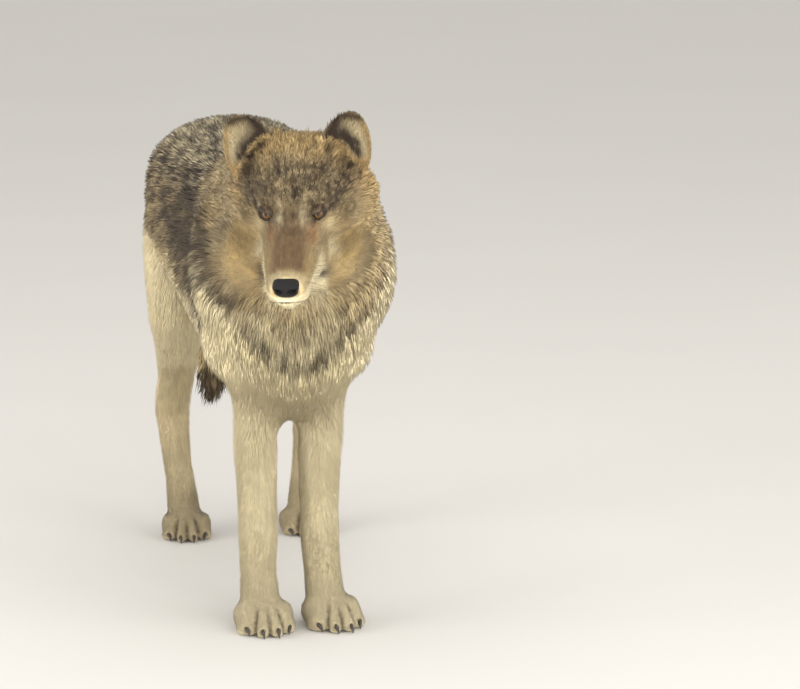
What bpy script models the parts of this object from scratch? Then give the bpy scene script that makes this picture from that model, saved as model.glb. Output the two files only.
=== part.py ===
"""Grey wolf in winter coat, standing: the coat's outer form, parted into its named body parts.

Metres, +Z up. The wolf faces -Y, so its own left side is at +X. The origin is on the floor, under the
middle of the whole. Run with: blender --background --python part.py
"""

import math

import bmesh
import bpy
from mathutils import Euler, Matrix, Vector

# Driving sizes -------------------------------------------------------------------------------------
GAP = 0.0003                 # clearance between neighbouring pieces
FORM_VOXEL = 0.0055          # grain at which the overlapping forms are united
FORM_TRIANGLES = 3850        # triangles of the united form, before it is parted
WITHERS_HEIGHT = 0.81
FOREPAW_Y, HINDPAW_Y = -0.300, 0.385
EYE_RADIUS = 0.0118
EYE_SPACING = 0.085
EYES_HEIGHT, EYES_Y, EYES_X = 0.736, -0.470, -0.010
HEAD_YAW, HEAD_PITCH, HEAD_ROLL = (math.radians(a) for a in (-14.0, 34.0, -2.0))
SOLE_DROP = 0.004            # how far the paws' round forms reach below the floor before they are cut flat

LEFT, RIGHT = 1, -1
SIDE_NAMES = {LEFT: "left", RIGHT: "right"}

COAT = ("coat", (0.52, 0.45, 0.33, 1.0), 0.9)
DARK_COAT = ("dark_coat", (0.20, 0.17, 0.15, 1.0), 0.9)
PALE_COAT = ("pale_coat", (0.72, 0.64, 0.48, 1.0), 0.9)
NOSE_SKIN = ("nose_skin", (0.03, 0.03, 0.032, 1.0), 0.45)
EYE_AMBER = ("eye_amber", (0.35, 0.20, 0.07, 1.0), 0.1)
CLAW_HORN = ("claw_horn", (0.05, 0.045, 0.04, 1.0), 0.4)


# Materials and objects -----------------------------------------------------------------------------
def material(finish):
    """The finish's Principled material, made once."""
    name, colour, roughness = finish
    found = bpy.data.materials.get(name)
    if found:
        return found
    made = bpy.data.materials.new(name)
    made.use_nodes = True
    shader = made.node_tree.nodes["Principled BSDF"]
    shader.inputs["Base Color"].default_value = colour
    shader.inputs["Roughness"].default_value = roughness
    shader.inputs["Metallic"].default_value = 0.0
    return made


def new_object(name, mesh, finish=None):
    """An object in the scene that shows the mesh."""
    made = bpy.data.objects.new(name, mesh)
    bpy.context.scene.collection.objects.link(made)
    if finish:
        mesh.materials.clear()
        mesh.materials.append(material(finish))
    return made


def baked(obj):
    """A plain mesh of the object with its modifiers applied. The object is removed."""
    graph = bpy.context.evaluated_depsgraph_get()
    mesh = bpy.data.meshes.new_from_object(obj.evaluated_get(graph))
    bpy.data.objects.remove(obj)
    return mesh


def boolean(mesh, cutter, operation):
    """The mesh joined with, cut by or kept inside the cutter's mesh."""
    body, tool = new_object("body", mesh), new_object("tool", cutter)
    step = body.modifiers.new("boolean", "BOOLEAN")
    step.operation, step.solver, step.object, step.use_self = operation, "EXACT", tool, True
    result = baked(body)
    bpy.data.objects.remove(tool)
    return result


# Shapes --------------------------------------------------------------------------------------------
def smooth_run(stations, t):
    """The stations' numbers at place t (0 at the first, 1 at the last), on a Catmull-Rom curve."""
    place = min(max(t, 0.0), 1.0) * (len(stations) - 1)
    i = min(int(place), len(stations) - 2)
    f = place - i
    a = stations[max(i - 1, 0)]
    b, c = stations[i], stations[i + 1]
    d = stations[min(i + 2, len(stations) - 1)]
    return [
        0.5 * (2 * q + (r - p) * f + (2 * p - 5 * q + 4 * r - s) * f**2 + (3 * q - p - 3 * r + s) * f**3)
        for p, q, r, s in zip(a, b, c, d)
    ]


def tube_mesh(stations, rings=28, segments=28, power=1.0, frame=None):
    """A closed tube through stations of (x, y, z, side, above, below).

    The section is an oval with half width side, and heights above and below its centre. Power under 1
    makes it squarer. Above is on the side that faces up, or back on a tube that runs straight down.
    """
    builder = bmesh.new()
    rows = [smooth_run(stations, i / (rings - 1)) for i in range(rings)]
    centres = [Vector(row[:3]) for row in rows]
    lead = Vector((1, 0, 0)).cross(centres[-1] - centres[0])
    main_part = lead.z if abs(lead.z) > abs(lead.y) else lead.y
    turned = -1 if main_part < 0 else 1
    loops = []
    for i, (x, y, z, side, above, below) in enumerate(rows):
        run = (centres[min(i + 1, rings - 1)] - centres[max(i - 1, 0)]).normalized()
        across = (Vector((1, 0, 0)) - run * run.x).normalized()
        over = across.cross(run) * turned
        loop = []
        for k in range(segments):
            angle = 2 * math.pi * k / segments
            c, s = math.cos(angle), math.sin(angle)
            wide = side * math.copysign(abs(c) ** power, c)
            tall = (above if s > 0 else below) * math.copysign(abs(s) ** power, s)
            loop.append(builder.verts.new(centres[i] + across * wide + over * tall))
        loops.append(loop)
    for first, second in zip(loops, loops[1:]):
        for k in range(segments):
            n = (k + 1) % segments
            builder.faces.new((first[k], first[n], second[n], second[k]))
    builder.faces.new(loops[0])
    builder.faces.new(loops[-1])
    bmesh.ops.recalc_face_normals(builder, faces=builder.faces)
    return finished(builder, frame)


def ball_mesh(centre, radii, turn=(0, 0, 0), frame=None, detail=20):
    """An ellipsoid with three half axes, turned by Euler degrees about its centre."""
    builder = bmesh.new()
    bmesh.ops.create_uvsphere(builder, u_segments=detail, v_segments=detail // 2 + 2, radius=1.0)
    place = Matrix.Translation(centre) @ Euler([math.radians(a) for a in turn]).to_matrix().to_4x4()
    builder.transform(place @ Matrix.Diagonal((*radii, 1.0)))
    return finished(builder, frame)


def box_mesh(low, high, turn=(0, 0, 0), frame=None, grow=0.0):
    """A box between two corners, grown outwards and turned by Euler degrees about its middle."""
    low, high = Vector(low), Vector(high)
    builder = bmesh.new()
    bmesh.ops.create_cube(builder, size=1.0)
    place = Matrix.Translation((low + high) / 2) @ Euler([math.radians(a) for a in turn]).to_matrix().to_4x4()
    builder.transform(place @ Matrix.Diagonal((*(high - low + Vector((2 * grow,) * 3)), 1.0)))
    return finished(builder, frame)


def pocket_of(mesh):
    """The mesh grown outwards along its normals, to cut a pocket that leaves a gap all round it."""
    builder = bmesh.new()
    builder.from_mesh(mesh)
    builder.normal_update()
    for v in builder.verts:
        v.co += v.normal * (2.2 * GAP)
    return finished(builder)


def finished(builder, frame=None):
    """The bmesh as a mesh, in the world from the frame it was drawn in."""
    if frame:
        builder.transform(frame)
    mesh = bpy.data.meshes.new("shape")
    builder.to_mesh(mesh)
    builder.free()
    return mesh


def largest_body(mesh):
    """The mesh with only its largest connected body kept."""
    builder = bmesh.new()
    builder.from_mesh(mesh)
    left, bodies = set(builder.verts), []
    while left:
        body, reach = [], [left.pop()]
        while reach:
            v = reach.pop()
            body.append(v)
            near = {e.other_vert(v) for e in v.link_edges} & left
            left -= near
            reach.extend(near)
        bodies.append(body)
    bodies.sort(key=len)
    bmesh.ops.delete(builder, geom=[v for body in bodies[:-1] for v in body], context="VERTS")
    return finished(builder)


def joined(meshes):
    """All the meshes in one, overlapping as they are."""
    builder = bmesh.new()
    for mesh in meshes:
        builder.from_mesh(mesh)
        bpy.data.meshes.remove(mesh)
    return finished(builder)


# Body forms ----------------------------------------------------------------------------------------
HEAD_FRAME = (
    Matrix.Translation((EYES_X, EYES_Y, EYES_HEIGHT))
    @ Matrix.Rotation(HEAD_YAW, 4, "Z")
    @ Matrix.Rotation(HEAD_PITCH, 4, "X")
    @ Matrix.Rotation(HEAD_ROLL, 4, "Y")
)


def trunk_forms():
    """Chest, back, belly and rump: stations of (sway, y, back height, belly height, half width)."""
    profile = (
        (0.008, -0.398, 0.640, 0.510, 0.045),
        (0.008, -0.370, 0.700, 0.420, 0.105),
        (0.006, -0.305, 0.778, 0.346, 0.140),
        (0.003, -0.215, WITHERS_HEIGHT, 0.362, 0.154),
        (-0.003, -0.090, 0.812, 0.400, 0.163),
        (-0.011, 0.050, 0.803, 0.430, 0.167),
        (-0.019, 0.170, 0.796, 0.456, 0.166),
        (-0.027, 0.285, 0.792, 0.490, 0.160),
        (-0.031, 0.380, 0.774, 0.525, 0.146),
        (-0.032, 0.450, 0.738, 0.560, 0.110),
        (-0.032, 0.498, 0.690, 0.600, 0.050),
    )
    widest = 0.53  # of the height, up from the belly
    stations = [
        (sway, y, low + (top - low) * widest, side, (top - low) * (1 - widest), (top - low) * widest)
        for sway, y, top, low, side in profile
    ]
    forms = [tube_mesh(stations, rings=40, segments=36, power=0.87)]
    for side in (LEFT, RIGHT):
        centre = (side * 0.080 + 0.006, -0.258, 0.548)
        forms.append(ball_mesh(centre, (0.070, 0.105, 0.125), (0, side * -10, 0)))
    return forms


def neck_forms():
    """The maned neck, thick as the head, from the shoulders up to the skull, and the throat's ruff."""
    stations = (
        (0.004, -0.110, 0.610, 0.135, 0.190, 0.165),
        (0.006, -0.200, 0.614, 0.158, 0.210, 0.178),
        (0.008, -0.275, 0.614, 0.172, 0.222, 0.170),
        (0.009, -0.330, 0.620, 0.168, 0.226, 0.148),
        (0.007, -0.376, 0.650, 0.146, 0.196, 0.124),
        (0.000, -0.412, 0.694, 0.112, 0.112, 0.098),
    )
    throat = ball_mesh((0.006, -0.366, 0.560), (0.134, 0.066, 0.120), (-10, 0, 0))
    nape = ball_mesh((0.000, -0.318, 0.750), (0.118, 0.085, 0.088), (-20, 0, 0))
    return [tube_mesh(stations, rings=26, segments=32, power=0.94), throat, nape]


def head_forms():
    """Skull, muzzle, brows, cheeks and chin, drawn forwards along -Y from between the eyes."""
    profile = (  # place from the eyes back, top, bottom, half width, level of the widest
        (0.170, 0.024, -0.080, 0.078, -0.024),
        (0.130, 0.064, -0.098, 0.096, -0.024),
        (0.092, 0.057, -0.106, 0.094, -0.034),
        (0.060, 0.052, -0.106, 0.090, -0.042),
        (0.034, 0.044, -0.102, 0.080, -0.046),
        (0.012, 0.032, -0.097, 0.063, -0.054),
        (-0.010, 0.018, -0.091, 0.055, -0.058),
        (-0.034, 0.007, -0.086, 0.0525, -0.062),
        (-0.066, 0.000, -0.082, 0.0485, -0.060),
        (-0.100, -0.006, -0.076, 0.0425, -0.055),
        (-0.130, -0.012, -0.070, 0.0345, -0.048),
        (-0.149, -0.022, -0.062, 0.0240, -0.042),
    )
    skull = [(0.0, y, level, side, top - level, level - low) for y, top, low, side, level in profile]
    forms = [tube_mesh(skull, rings=44, segments=36, power=0.97, frame=HEAD_FRAME)]
    for side in (LEFT, RIGHT):
        for centre, radii, turn in (
            ((0.040, 0.022, 0.019), (0.024, 0.020, 0.012), (24, 12, 0)),      # brow
            ((0.070, 0.042, -0.036), (0.030, 0.042, 0.032), (0, 0, -24)),     # cheekbone
            ((0.084, 0.096, -0.050), (0.046, 0.056, 0.064), (0, 20, 0)),      # cheek ruff
            ((0.056, 0.134, 0.012), (0.044, 0.036, 0.042), (0, -20, 0)),      # ear root
            ((0.019, -0.116, -0.050), (0.017, 0.034, 0.022), (0, 0, 0)),      # upper lip
        ):
            place = (centre[0] * side, centre[1], centre[2])
            angles = (turn[0], turn[1] * side, turn[2] * side)
            forms.append(ball_mesh(place, radii, angles, HEAD_FRAME))
    forms.append(ball_mesh((0, -0.116, -0.070), (0.0225, 0.036, 0.0190), (-4, 0, 0), HEAD_FRAME))
    return forms


def foreleg_forms(side):
    """Shoulder, forearm, wrist and pastern of one foreleg."""
    x, paw_x = {LEFT: (0.056, 0.066), RIGHT: (-0.052, -0.047)}[side]
    mid = 0.008
    back = {LEFT: 0.014, RIGHT: 0.0}[side]
    stations = (
        (x + side * 0.030, -0.225 + back, 0.560, 0.056, 0.095, 0.085),
        (x * 1.12 + mid, -0.228 + back, 0.490, 0.053, 0.085, 0.080),
        (x * 1.04 + mid, -0.238 + back, 0.430, 0.049, 0.066, 0.066),
        (x * 1.02 + mid * 0.5, -0.262 + back, 0.360, 0.043, 0.048, 0.048),
        (x, -0.282 + back, 0.280, 0.037, 0.040, 0.038),
        (x * 0.98, -0.292 + back, 0.200, 0.0345, 0.036, 0.034),
        (x * 0.98, -0.296 + back, 0.150, 0.0345, 0.036, 0.034),
        (x * 0.7 + paw_x * 0.3, -0.294 + back, 0.100, 0.0325, 0.034, 0.033),
        (x * 0.4 + paw_x * 0.6, -0.300 + back, 0.055, 0.0335, 0.034, 0.036),
        (paw_x, -0.306 + back, 0.020, 0.0300, 0.030, 0.034),
    )
    return [tube_mesh(stations, rings=34, segments=24)]


def hindleg_forms(side):
    """Thigh, shank, hock and long hind pastern of one hind leg."""
    x = side * 0.110
    hip = {LEFT: -0.022, RIGHT: 0.0}[side]  # the pelvis is swayed to the right, so the left thigh leans in
    stations = (
        (x * 0.62 + hip, 0.335, 0.700, 0.060, 0.120, 0.120),
        (x * 0.88 + hip, 0.335, 0.620, 0.075, 0.138, 0.130),
        (x * 1.05 + hip, 0.330, 0.540, 0.073, 0.128, 0.110),
        (x * 1.13 + hip * 0.9, 0.330, 0.465, 0.062, 0.098, 0.090),
        (x * 1.13 + hip * 0.6, 0.352, 0.390, 0.048, 0.066, 0.070),
        (x * 1.10 + hip * 0.2, 0.394, 0.320, 0.038, 0.044, 0.050),
        (x * 1.14, 0.430, 0.258, 0.034, 0.034, 0.040),
        (x * 1.14, 0.442, 0.215, 0.032, 0.033, 0.034),
        (x * 1.10, 0.436, 0.160, 0.0285, 0.028, 0.030),
        (x * 1.04, 0.422, 0.100, 0.0280, 0.027, 0.030),
        (x * 1.00, 0.408, 0.050, 0.0300, 0.029, 0.032),
        (x * 0.98, 0.400, 0.020, 0.0270, 0.025, 0.030),
    )
    heel = ball_mesh((x * 1.14, 0.462, 0.242), (0.020, 0.021, 0.030), (-18, 0, 0))
    return [tube_mesh(stations, rings=40, segments=24), heel]


PAWS = {
    ("fore", LEFT): ((0.070, FOREPAW_Y + 0.006), 12.0, 1.00),
    ("fore", RIGHT): ((-0.045, FOREPAW_Y - 0.010), 4.0, 1.00),
    ("hind", LEFT): ((0.107, HINDPAW_Y + 0.012), 6.0, 0.90),
    ("hind", RIGHT): ((-0.107, HINDPAW_Y), -4.0, 0.90),
}
TOES = (  # sideways place, forward reach and turn of each toe, from the inner one out
    (-0.0345, 0.030, -16.0),
    (-0.0125, 0.052, -4.0),
    (0.0125, 0.052, 4.0),
    (0.0345, 0.030, 16.0),
)


def paw_frame(limb, side):
    """The paw's own frame: on the floor under its middle, facing -Y, at its own size."""
    (x, y), turn, size = PAWS[limb, side]
    return (
        Matrix.Translation((x, y, 0.0))
        @ Matrix.Rotation(math.radians(turn), 4, "Z")
        @ Matrix.Diagonal((size, size, size, 1.0))
    )


def paw_forms(limb, side):
    """Heel pad, four knuckled toes and the instep of one paw."""
    frame = paw_frame(limb, side)
    forms = [ball_mesh((0, 0.004, 0.030), (0.039, 0.044, 0.036), frame=frame)]
    for x, reach, turn in TOES:
        forms.append(ball_mesh((x, -reach * 0.55, 0.026), (0.0150, 0.036, 0.026), (14, 0, -turn), frame))
        tip = (x * 1.08, -reach - 0.004, 0.013)
        forms.append(ball_mesh(tip, (0.0150, 0.021, 0.018), (0, 0, -turn), frame))
    return forms


def tail_forms():
    """The brush, hanging from the croup to the hocks."""
    stations = (
        (0.000, 0.415, 0.705, 0.036, 0.036, 0.036),
        (0.000, 0.478, 0.692, 0.041, 0.040, 0.040),
        (-0.003, 0.524, 0.640, 0.046, 0.044, 0.044),
        (-0.010, 0.541, 0.560, 0.052, 0.050, 0.050),
        (-0.020, 0.540, 0.470, 0.055, 0.052, 0.052),
        (-0.030, 0.532, 0.380, 0.048, 0.046, 0.046),
        (-0.040, 0.522, 0.295, 0.031, 0.030, 0.030),
        (-0.047, 0.516, 0.228, 0.006, 0.006, 0.006),
    )
    return [tube_mesh(stations, rings=36, segments=20)]


def whole_form():
    """One closed, smooth form of the coat without ears, nose or claws, with flat soles on the floor."""
    forms = trunk_forms() + neck_forms() + head_forms() + tail_forms()
    for side in (LEFT, RIGHT):
        forms += foreleg_forms(side) + hindleg_forms(side)
        forms += paw_forms("fore", side) + paw_forms("hind", side)
    united = new_object("united", joined(forms))
    step = united.modifiers.new("unite", "REMESH")
    step.mode, step.voxel_size, step.adaptivity = "VOXEL", FORM_VOXEL, 0.0
    united = new_object("united", largest_body(baked(united)))
    fine = united.vertex_groups.new(name="detail")
    soft = united.vertex_groups.new(name="soft")
    to_head = HEAD_FRAME.inverted()
    for v in united.data.vertices:
        place = to_head @ v.co
        if v.co.z < 0.075:
            detail, softness = 0.68, 0.05      # paws
        elif v.co.z < 0.34 or v.co.y > 0.50:
            detail, softness = 0.90, 0.12      # legs and tail
        elif place.y < 0.05 and place.z > -0.10:
            detail, softness = 0.62, 0.08      # face
        elif place.y < 0.10 and place.z > -0.11:
            detail, softness = 0.78, 0.35      # cheeks and crown
        elif v.co.y < -0.18:
            detail, softness = 0.84, 1.00      # neck and chest
        else:
            detail, softness = 1.00, 1.00
        fine.add([v.index], detail, "REPLACE")
        soft.add([v.index], softness, "REPLACE")
    step = united.modifiers.new("blend", "SMOOTH")
    step.factor, step.iterations, step.vertex_group = 0.6, 80, "soft"
    step = united.modifiers.new("thin", "DECIMATE")
    step.ratio = FORM_TRIANGLES / (2.0 * len(united.data.polygons))
    step.vertex_group, step.vertex_group_factor = "detail", 1.0
    step.use_collapse_triangulate = True
    return boolean(baked(united), box_mesh((-1, -1, SOLE_DROP), (1, 1, 1.5)), "INTERSECT")


def ear_mesh(side):
    """One ear, a leaf cupped towards the front: stations of (height, half width, cup depth)."""
    outline = (
        (-0.035, 0.0420, 0.020),
        (0.000, 0.0450, 0.022),
        (0.030, 0.0415, 0.019),
        (0.053, 0.0335, 0.014),
        (0.072, 0.0215, 0.008),
        (0.082, 0.0095, 0.003),
    )
    thick, arc_points, rings = 0.0060, 7, 9
    place, turned = {LEFT: (0.076, -13.0), RIGHT: (-0.069, 32.0)}[side]
    frame = HEAD_FRAME @ Matrix.Translation((place, 0.096, 0.032))
    frame = frame @ Euler([math.radians(a) for a in (-16.0, side * 14.0, turned)]).to_matrix().to_4x4()
    builder = bmesh.new()
    loops = []
    for i in range(rings):
        height, half, cup = smooth_run(outline, i / (rings - 1))
        loop = []
        for wall in (1, -1):
            for k in range(arc_points):
                s = wall * (2 * k / (arc_points - 1) - 1)
                wide = half * math.sin(s * math.pi / 2)
                deep = cup * math.cos(s * math.pi / 2) + wall * thick * (1 - 0.75 * s * s)
                loop.append(builder.verts.new((wide, deep, height)))
        loops.append(loop)
    for first, second in zip(loops, loops[1:]):
        for k in range(len(first)):
            n = (k + 1) % len(first)
            builder.faces.new((first[k], first[n], second[n], second[k]))
    builder.faces.new(loops[0])
    builder.faces.new(loops[-1])
    bmesh.ops.recalc_face_normals(builder, faces=builder.faces)
    return finished(builder, frame)


def nose_mesh():
    """The bare nose pad at the muzzle's tip."""
    return ball_mesh((0, -0.146, -0.031), (0.0240, 0.0175, 0.0170), (-12, 0, 0), HEAD_FRAME, detail=12)


def eye_mesh(side):
    """An eyeball, set under the brow."""
    return ball_mesh((side * EYE_SPACING / 2, -0.004, 0.0), (EYE_RADIUS,) * 3, frame=HEAD_FRAME, detail=12)


def claw_mesh(limb, side, toe):
    """One claw, curving down from the toe's tip to just off the floor."""
    x, reach, turn = TOES[toe]
    root = Vector((x * 1.10, -reach - 0.014, 0.017))
    ahead = Matrix.Rotation(math.radians(-turn), 3, "Z") @ Vector((0, -1, 0))
    stations = []
    for along, drop, radius in (
        (0.0, 0.0, 0.0042),
        (0.008, 0.0015, 0.0038),
        (0.014, 0.006, 0.0024),
        (0.017, 0.011, 0.0008),
    ):
        place = root + ahead * along - Vector((0, 0, drop))
        stations.append((*place, radius, radius * 1.2, radius * 1.2))
    return tube_mesh(stations, rings=4, segments=6, frame=paw_frame(limb, side))


# Parting the form ----------------------------------------------------------------------------------
def carve(rest, low, high, turn=(0, 0, 0), frame=None):
    """Parts the rest of the form at a box: returns the piece inside it and what is left."""
    piece = boolean(rest.copy(), box_mesh(low, high, turn, frame), "INTERSECT")
    left = boolean(rest, box_mesh(low, high, turn, frame, grow=GAP), "DIFFERENCE")
    return largest_body(piece), largest_body(left)


def leg_pieces(rest):
    """The legs' lengths, cut from the form at the paw, the joints and the body."""
    pieces = {}
    for side in (LEFT, RIGHT):
        name = SIDE_NAMES[side]
        inner, outer = (0.013, 0.30) if side == LEFT else (-0.30, 0.011)
        hip = side * 0.17
        cuts = (
            ("forepaw", (inner, -0.50, -0.05), (outer, -0.10, 0.085), (0, 0, 0)),
            ("forearm", (inner, -0.50, 0.00), (outer, -0.10, 0.315), (0, 0, 0)),
            ("hindpaw", (inner, 0.20, -0.05), (outer, 0.60, 0.078), (0, 0, 0)),
            ("hind_pastern", (inner, 0.20, 0.00), (outer, 0.60, 0.245), (0, 0, 0)),
            ("shank", (inner, 0.20, 0.10), (outer, 0.495, 0.420), (0, 0, 0)),
            ("thigh", (hip - 0.13, 0.200, 0.30), (hip + 0.13, 0.475, 0.585), (0, side * -20, 0)),
            ("upper_arm", (inner, -0.37, 0.20), (outer, -0.13, 0.455), (0, 0, 0)),
        )
        for part, low, high, turn in cuts:
            pieces[f"{part}_{name}"], rest = carve(rest, low, high, turn)
    return pieces, rest


def build():
    """Every node of the wolf as {name: (mesh, finish)}."""
    nodes = {}
    rest = whole_form()
    head, rest = carve(rest, (-0.3, -0.30, -0.112), (0.3, 0.148, 0.30), frame=HEAD_FRAME)
    jaw, head = carve(head, (-0.044, -0.20, -0.100), (0.044, -0.046, -0.0600), (3, 0, 0), HEAD_FRAME)
    tail, rest = carve(rest, (-0.088, 0.497, 0.15), (0.064, 0.70, 0.80), (-14, 0, 0))
    legs, rest = leg_pieces(rest)
    neck, trunk = carve(rest, (-0.30, -0.60, 0.30), (0.30, -0.275, 1.10), (-32, 0, 0))
    for side in (LEFT, RIGHT):
        name = SIDE_NAMES[side]
        ear, eye = ear_mesh(side), eye_mesh(side)
        nodes[f"ear_{name}"], nodes[f"eye_{name}"] = (ear, COAT), (eye, EYE_AMBER)
        for part in (ear, eye):
            head = boolean(head, pocket_of(part), "DIFFERENCE")
        for limb in ("fore", "hind"):
            paw = legs[f"{limb}paw_{name}"]
            for toe in range(len(TOES)):
                claw = claw_mesh(limb, side, toe)
                paw = boolean(paw, pocket_of(claw), "DIFFERENCE")
                nodes[f"claw_{limb}_{name}_{toe + 1}"] = (claw, CLAW_HORN)
            legs[f"{limb}paw_{name}"] = paw
    nose = nose_mesh()
    nodes["nose"] = (nose, NOSE_SKIN)
    nodes["head"] = (boolean(head, pocket_of(nose), "DIFFERENCE"), COAT)
    nodes["lower_jaw"] = (jaw, PALE_COAT)
    nodes["neck"] = (neck, COAT)
    nodes["trunk"] = (trunk, DARK_COAT)
    nodes["tail"] = (tail, DARK_COAT)
    nodes.update({part: (mesh, PALE_COAT) for part, mesh in legs.items()})
    return nodes


def main():
    """Clears the scene, builds the wolf and stands it over the origin."""
    for old in list(bpy.data.objects):
        bpy.data.objects.remove(old)
    nodes = build()
    corners = [v.co for mesh, _ in nodes.values() for v in mesh.vertices]
    low, high = (Vector([pick(c[i] for c in corners) for i in range(3)]) for pick in (min, max))
    shift = Matrix.Translation((-(low.x + high.x) / 2, -(low.y + high.y) / 2, -low.z))
    for name, (mesh, finish) in nodes.items():
        mesh.transform(shift)
        made = new_object(name, mesh, finish)
        made.data.name = name


main()
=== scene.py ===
"""A life-size standing grey wolf: one skin, a coat of solid tufts, eyes, nose, claws and whiskers.

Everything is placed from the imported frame. World axes are the frame's: metres, +Z up, the wolf faces -Y
and its own left side is at +X. The head also has its own axes, found from the eyes and the nose: -Y runs
forwards along the muzzle, +Z up through the crown, and the origin lies between the eyes.
"""

from __future__ import annotations

import logging
import math
from collections.abc import Callable, Iterable, Iterator, Mapping, Sequence
from contextlib import contextmanager
from dataclasses import dataclass, field
from enum import Enum
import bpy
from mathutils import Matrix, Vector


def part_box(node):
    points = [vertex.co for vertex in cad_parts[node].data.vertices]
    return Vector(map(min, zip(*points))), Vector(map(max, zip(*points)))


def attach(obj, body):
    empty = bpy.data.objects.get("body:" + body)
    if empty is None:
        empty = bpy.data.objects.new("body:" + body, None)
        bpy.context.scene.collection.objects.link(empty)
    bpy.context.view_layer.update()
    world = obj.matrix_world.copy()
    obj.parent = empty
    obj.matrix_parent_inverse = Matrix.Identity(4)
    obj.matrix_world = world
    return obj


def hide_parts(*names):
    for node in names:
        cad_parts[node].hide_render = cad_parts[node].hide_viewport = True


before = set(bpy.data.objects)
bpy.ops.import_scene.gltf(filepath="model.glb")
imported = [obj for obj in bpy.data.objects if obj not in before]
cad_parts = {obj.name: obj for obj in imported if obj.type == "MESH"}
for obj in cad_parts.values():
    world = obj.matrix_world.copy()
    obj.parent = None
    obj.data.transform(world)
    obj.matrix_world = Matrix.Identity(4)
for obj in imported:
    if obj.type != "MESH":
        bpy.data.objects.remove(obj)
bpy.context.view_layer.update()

from types import SimpleNamespace

import bmesh
import bpy
import numpy as np
from mathutils import Matrix, Vector, noise
from mathutils.bvhtree import BVHTree

log = logging.getLogger("wolf")

Array = np.ndarray
Colour = tuple[float, float, float]
ROOT = "root"
BAKE_MAP = "OFBake"
SIDES = {"left": 1.0, "right": -1.0}
FLESH = tuple(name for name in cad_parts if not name.startswith(("eye", "claw", "nose")))
MERGE_DISTANCE = 1e-5


# Small maths ---------------------------------------------------------------------------------------
def ramp(values: Array, start: float, end: float) -> Array:
    """Smoothly 0 at start and 1 at end, whichever is the greater.

    Args:
        values: The numbers to grade.
        start: Where the ramp is 0.
        end: Where the ramp is 1.

    Returns:
        The graded values, from 0 to 1.
    """
    t = np.clip((values - start) / (end - start), 0.0, 1.0)
    return t * t * (3.0 - 2.0 * t)


def bump(points: Array, centre: Sequence[float], radii: Sequence[float]) -> Array:
    """A soft hill of height 1 at the centre.

    Args:
        points: Places, one to a row.
        centre: The hill's middle.
        radii: The distance along each axis at which it has sunk to a third.

    Returns:
        The hill's height at each place.
    """
    away = (points - np.array(centre)) / np.array(radii)
    return np.exp(-(away**2).sum(1))


def unit(rows: Array) -> Array:
    """Each row made one long."""
    return rows / np.maximum(np.linalg.norm(rows, axis=1, keepdims=True), 1e-9)


def limited(values: Array, most: float = 1.0) -> Array:
    """The values, held between 0 and the most."""
    return np.clip(values, 0.0, most)


def linear(red: int, green: int, blue: int) -> Colour:
    """A display colour of 0 to 255 as the linear colour that a shader takes."""
    parts = (c / 255.0 for c in (red, green, blue))
    return tuple(c / 12.92 if c <= 0.04045 else ((c + 0.055) / 1.055) ** 2.4 for c in parts)


def numbers(items: bpy.types.bpy_prop_collection, key: str, width: int, kind: type = np.float32) -> Array:
    """A mesh's or attribute's numbers as an array of rows.

    Args:
        items: The collection to read.
        key: The name of the property.
        width: How many numbers each item holds.
        kind: The type of number.

    Returns:
        One row for each item.
    """
    found = np.empty(len(items) * width, kind)
    items.foreach_get(key, found)
    return found.reshape(-1, width)


# Node trees ----------------------------------------------------------------------------------------
def maths(operation: str, swapped: bool = False) -> Callable[["Socket", "Value"], "Socket"]:
    """A method that adds a Math node for a socket and another value.

    Args:
        operation: What the node does.
        swapped: Whether the other value comes first.

    Returns:
        The method.
    """

    def method(self: "Socket", other: "Value") -> "Socket":
        """The result of the operation."""
        first, second = (other, self) if swapped else (self, other)
        return self.graph.node("ShaderNodeMath", {"operation": operation}, {0: first, 1: second})

    return method


class Socket:
    """A node's output. Arithmetic on it adds Math nodes to its tree."""

    __add__ = __radd__ = maths("ADD")
    __mul__ = __rmul__ = maths("MULTIPLY")
    __sub__, __rsub__ = maths("SUBTRACT"), maths("SUBTRACT", swapped=True)
    __truediv__, __rtruediv__ = maths("DIVIDE"), maths("DIVIDE", swapped=True)

    def __init__(self, graph: "Graph", socket: bpy.types.NodeSocket | None) -> None:
        """Wraps the output of a node in the graph."""
        self.graph, self.socket = graph, socket

    def step(self, start: float, end: float) -> "Socket":
        """Smoothly 0 at start and 1 at end."""
        inputs = {"Value": self, "From Min": start, "From Max": end}
        return self.graph.node("ShaderNodeMapRange", {"interpolation_type": "SMOOTHSTEP"}, inputs)


Value = Socket | float | int | str | bool | Sequence[float] | bpy.types.ID | None


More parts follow.
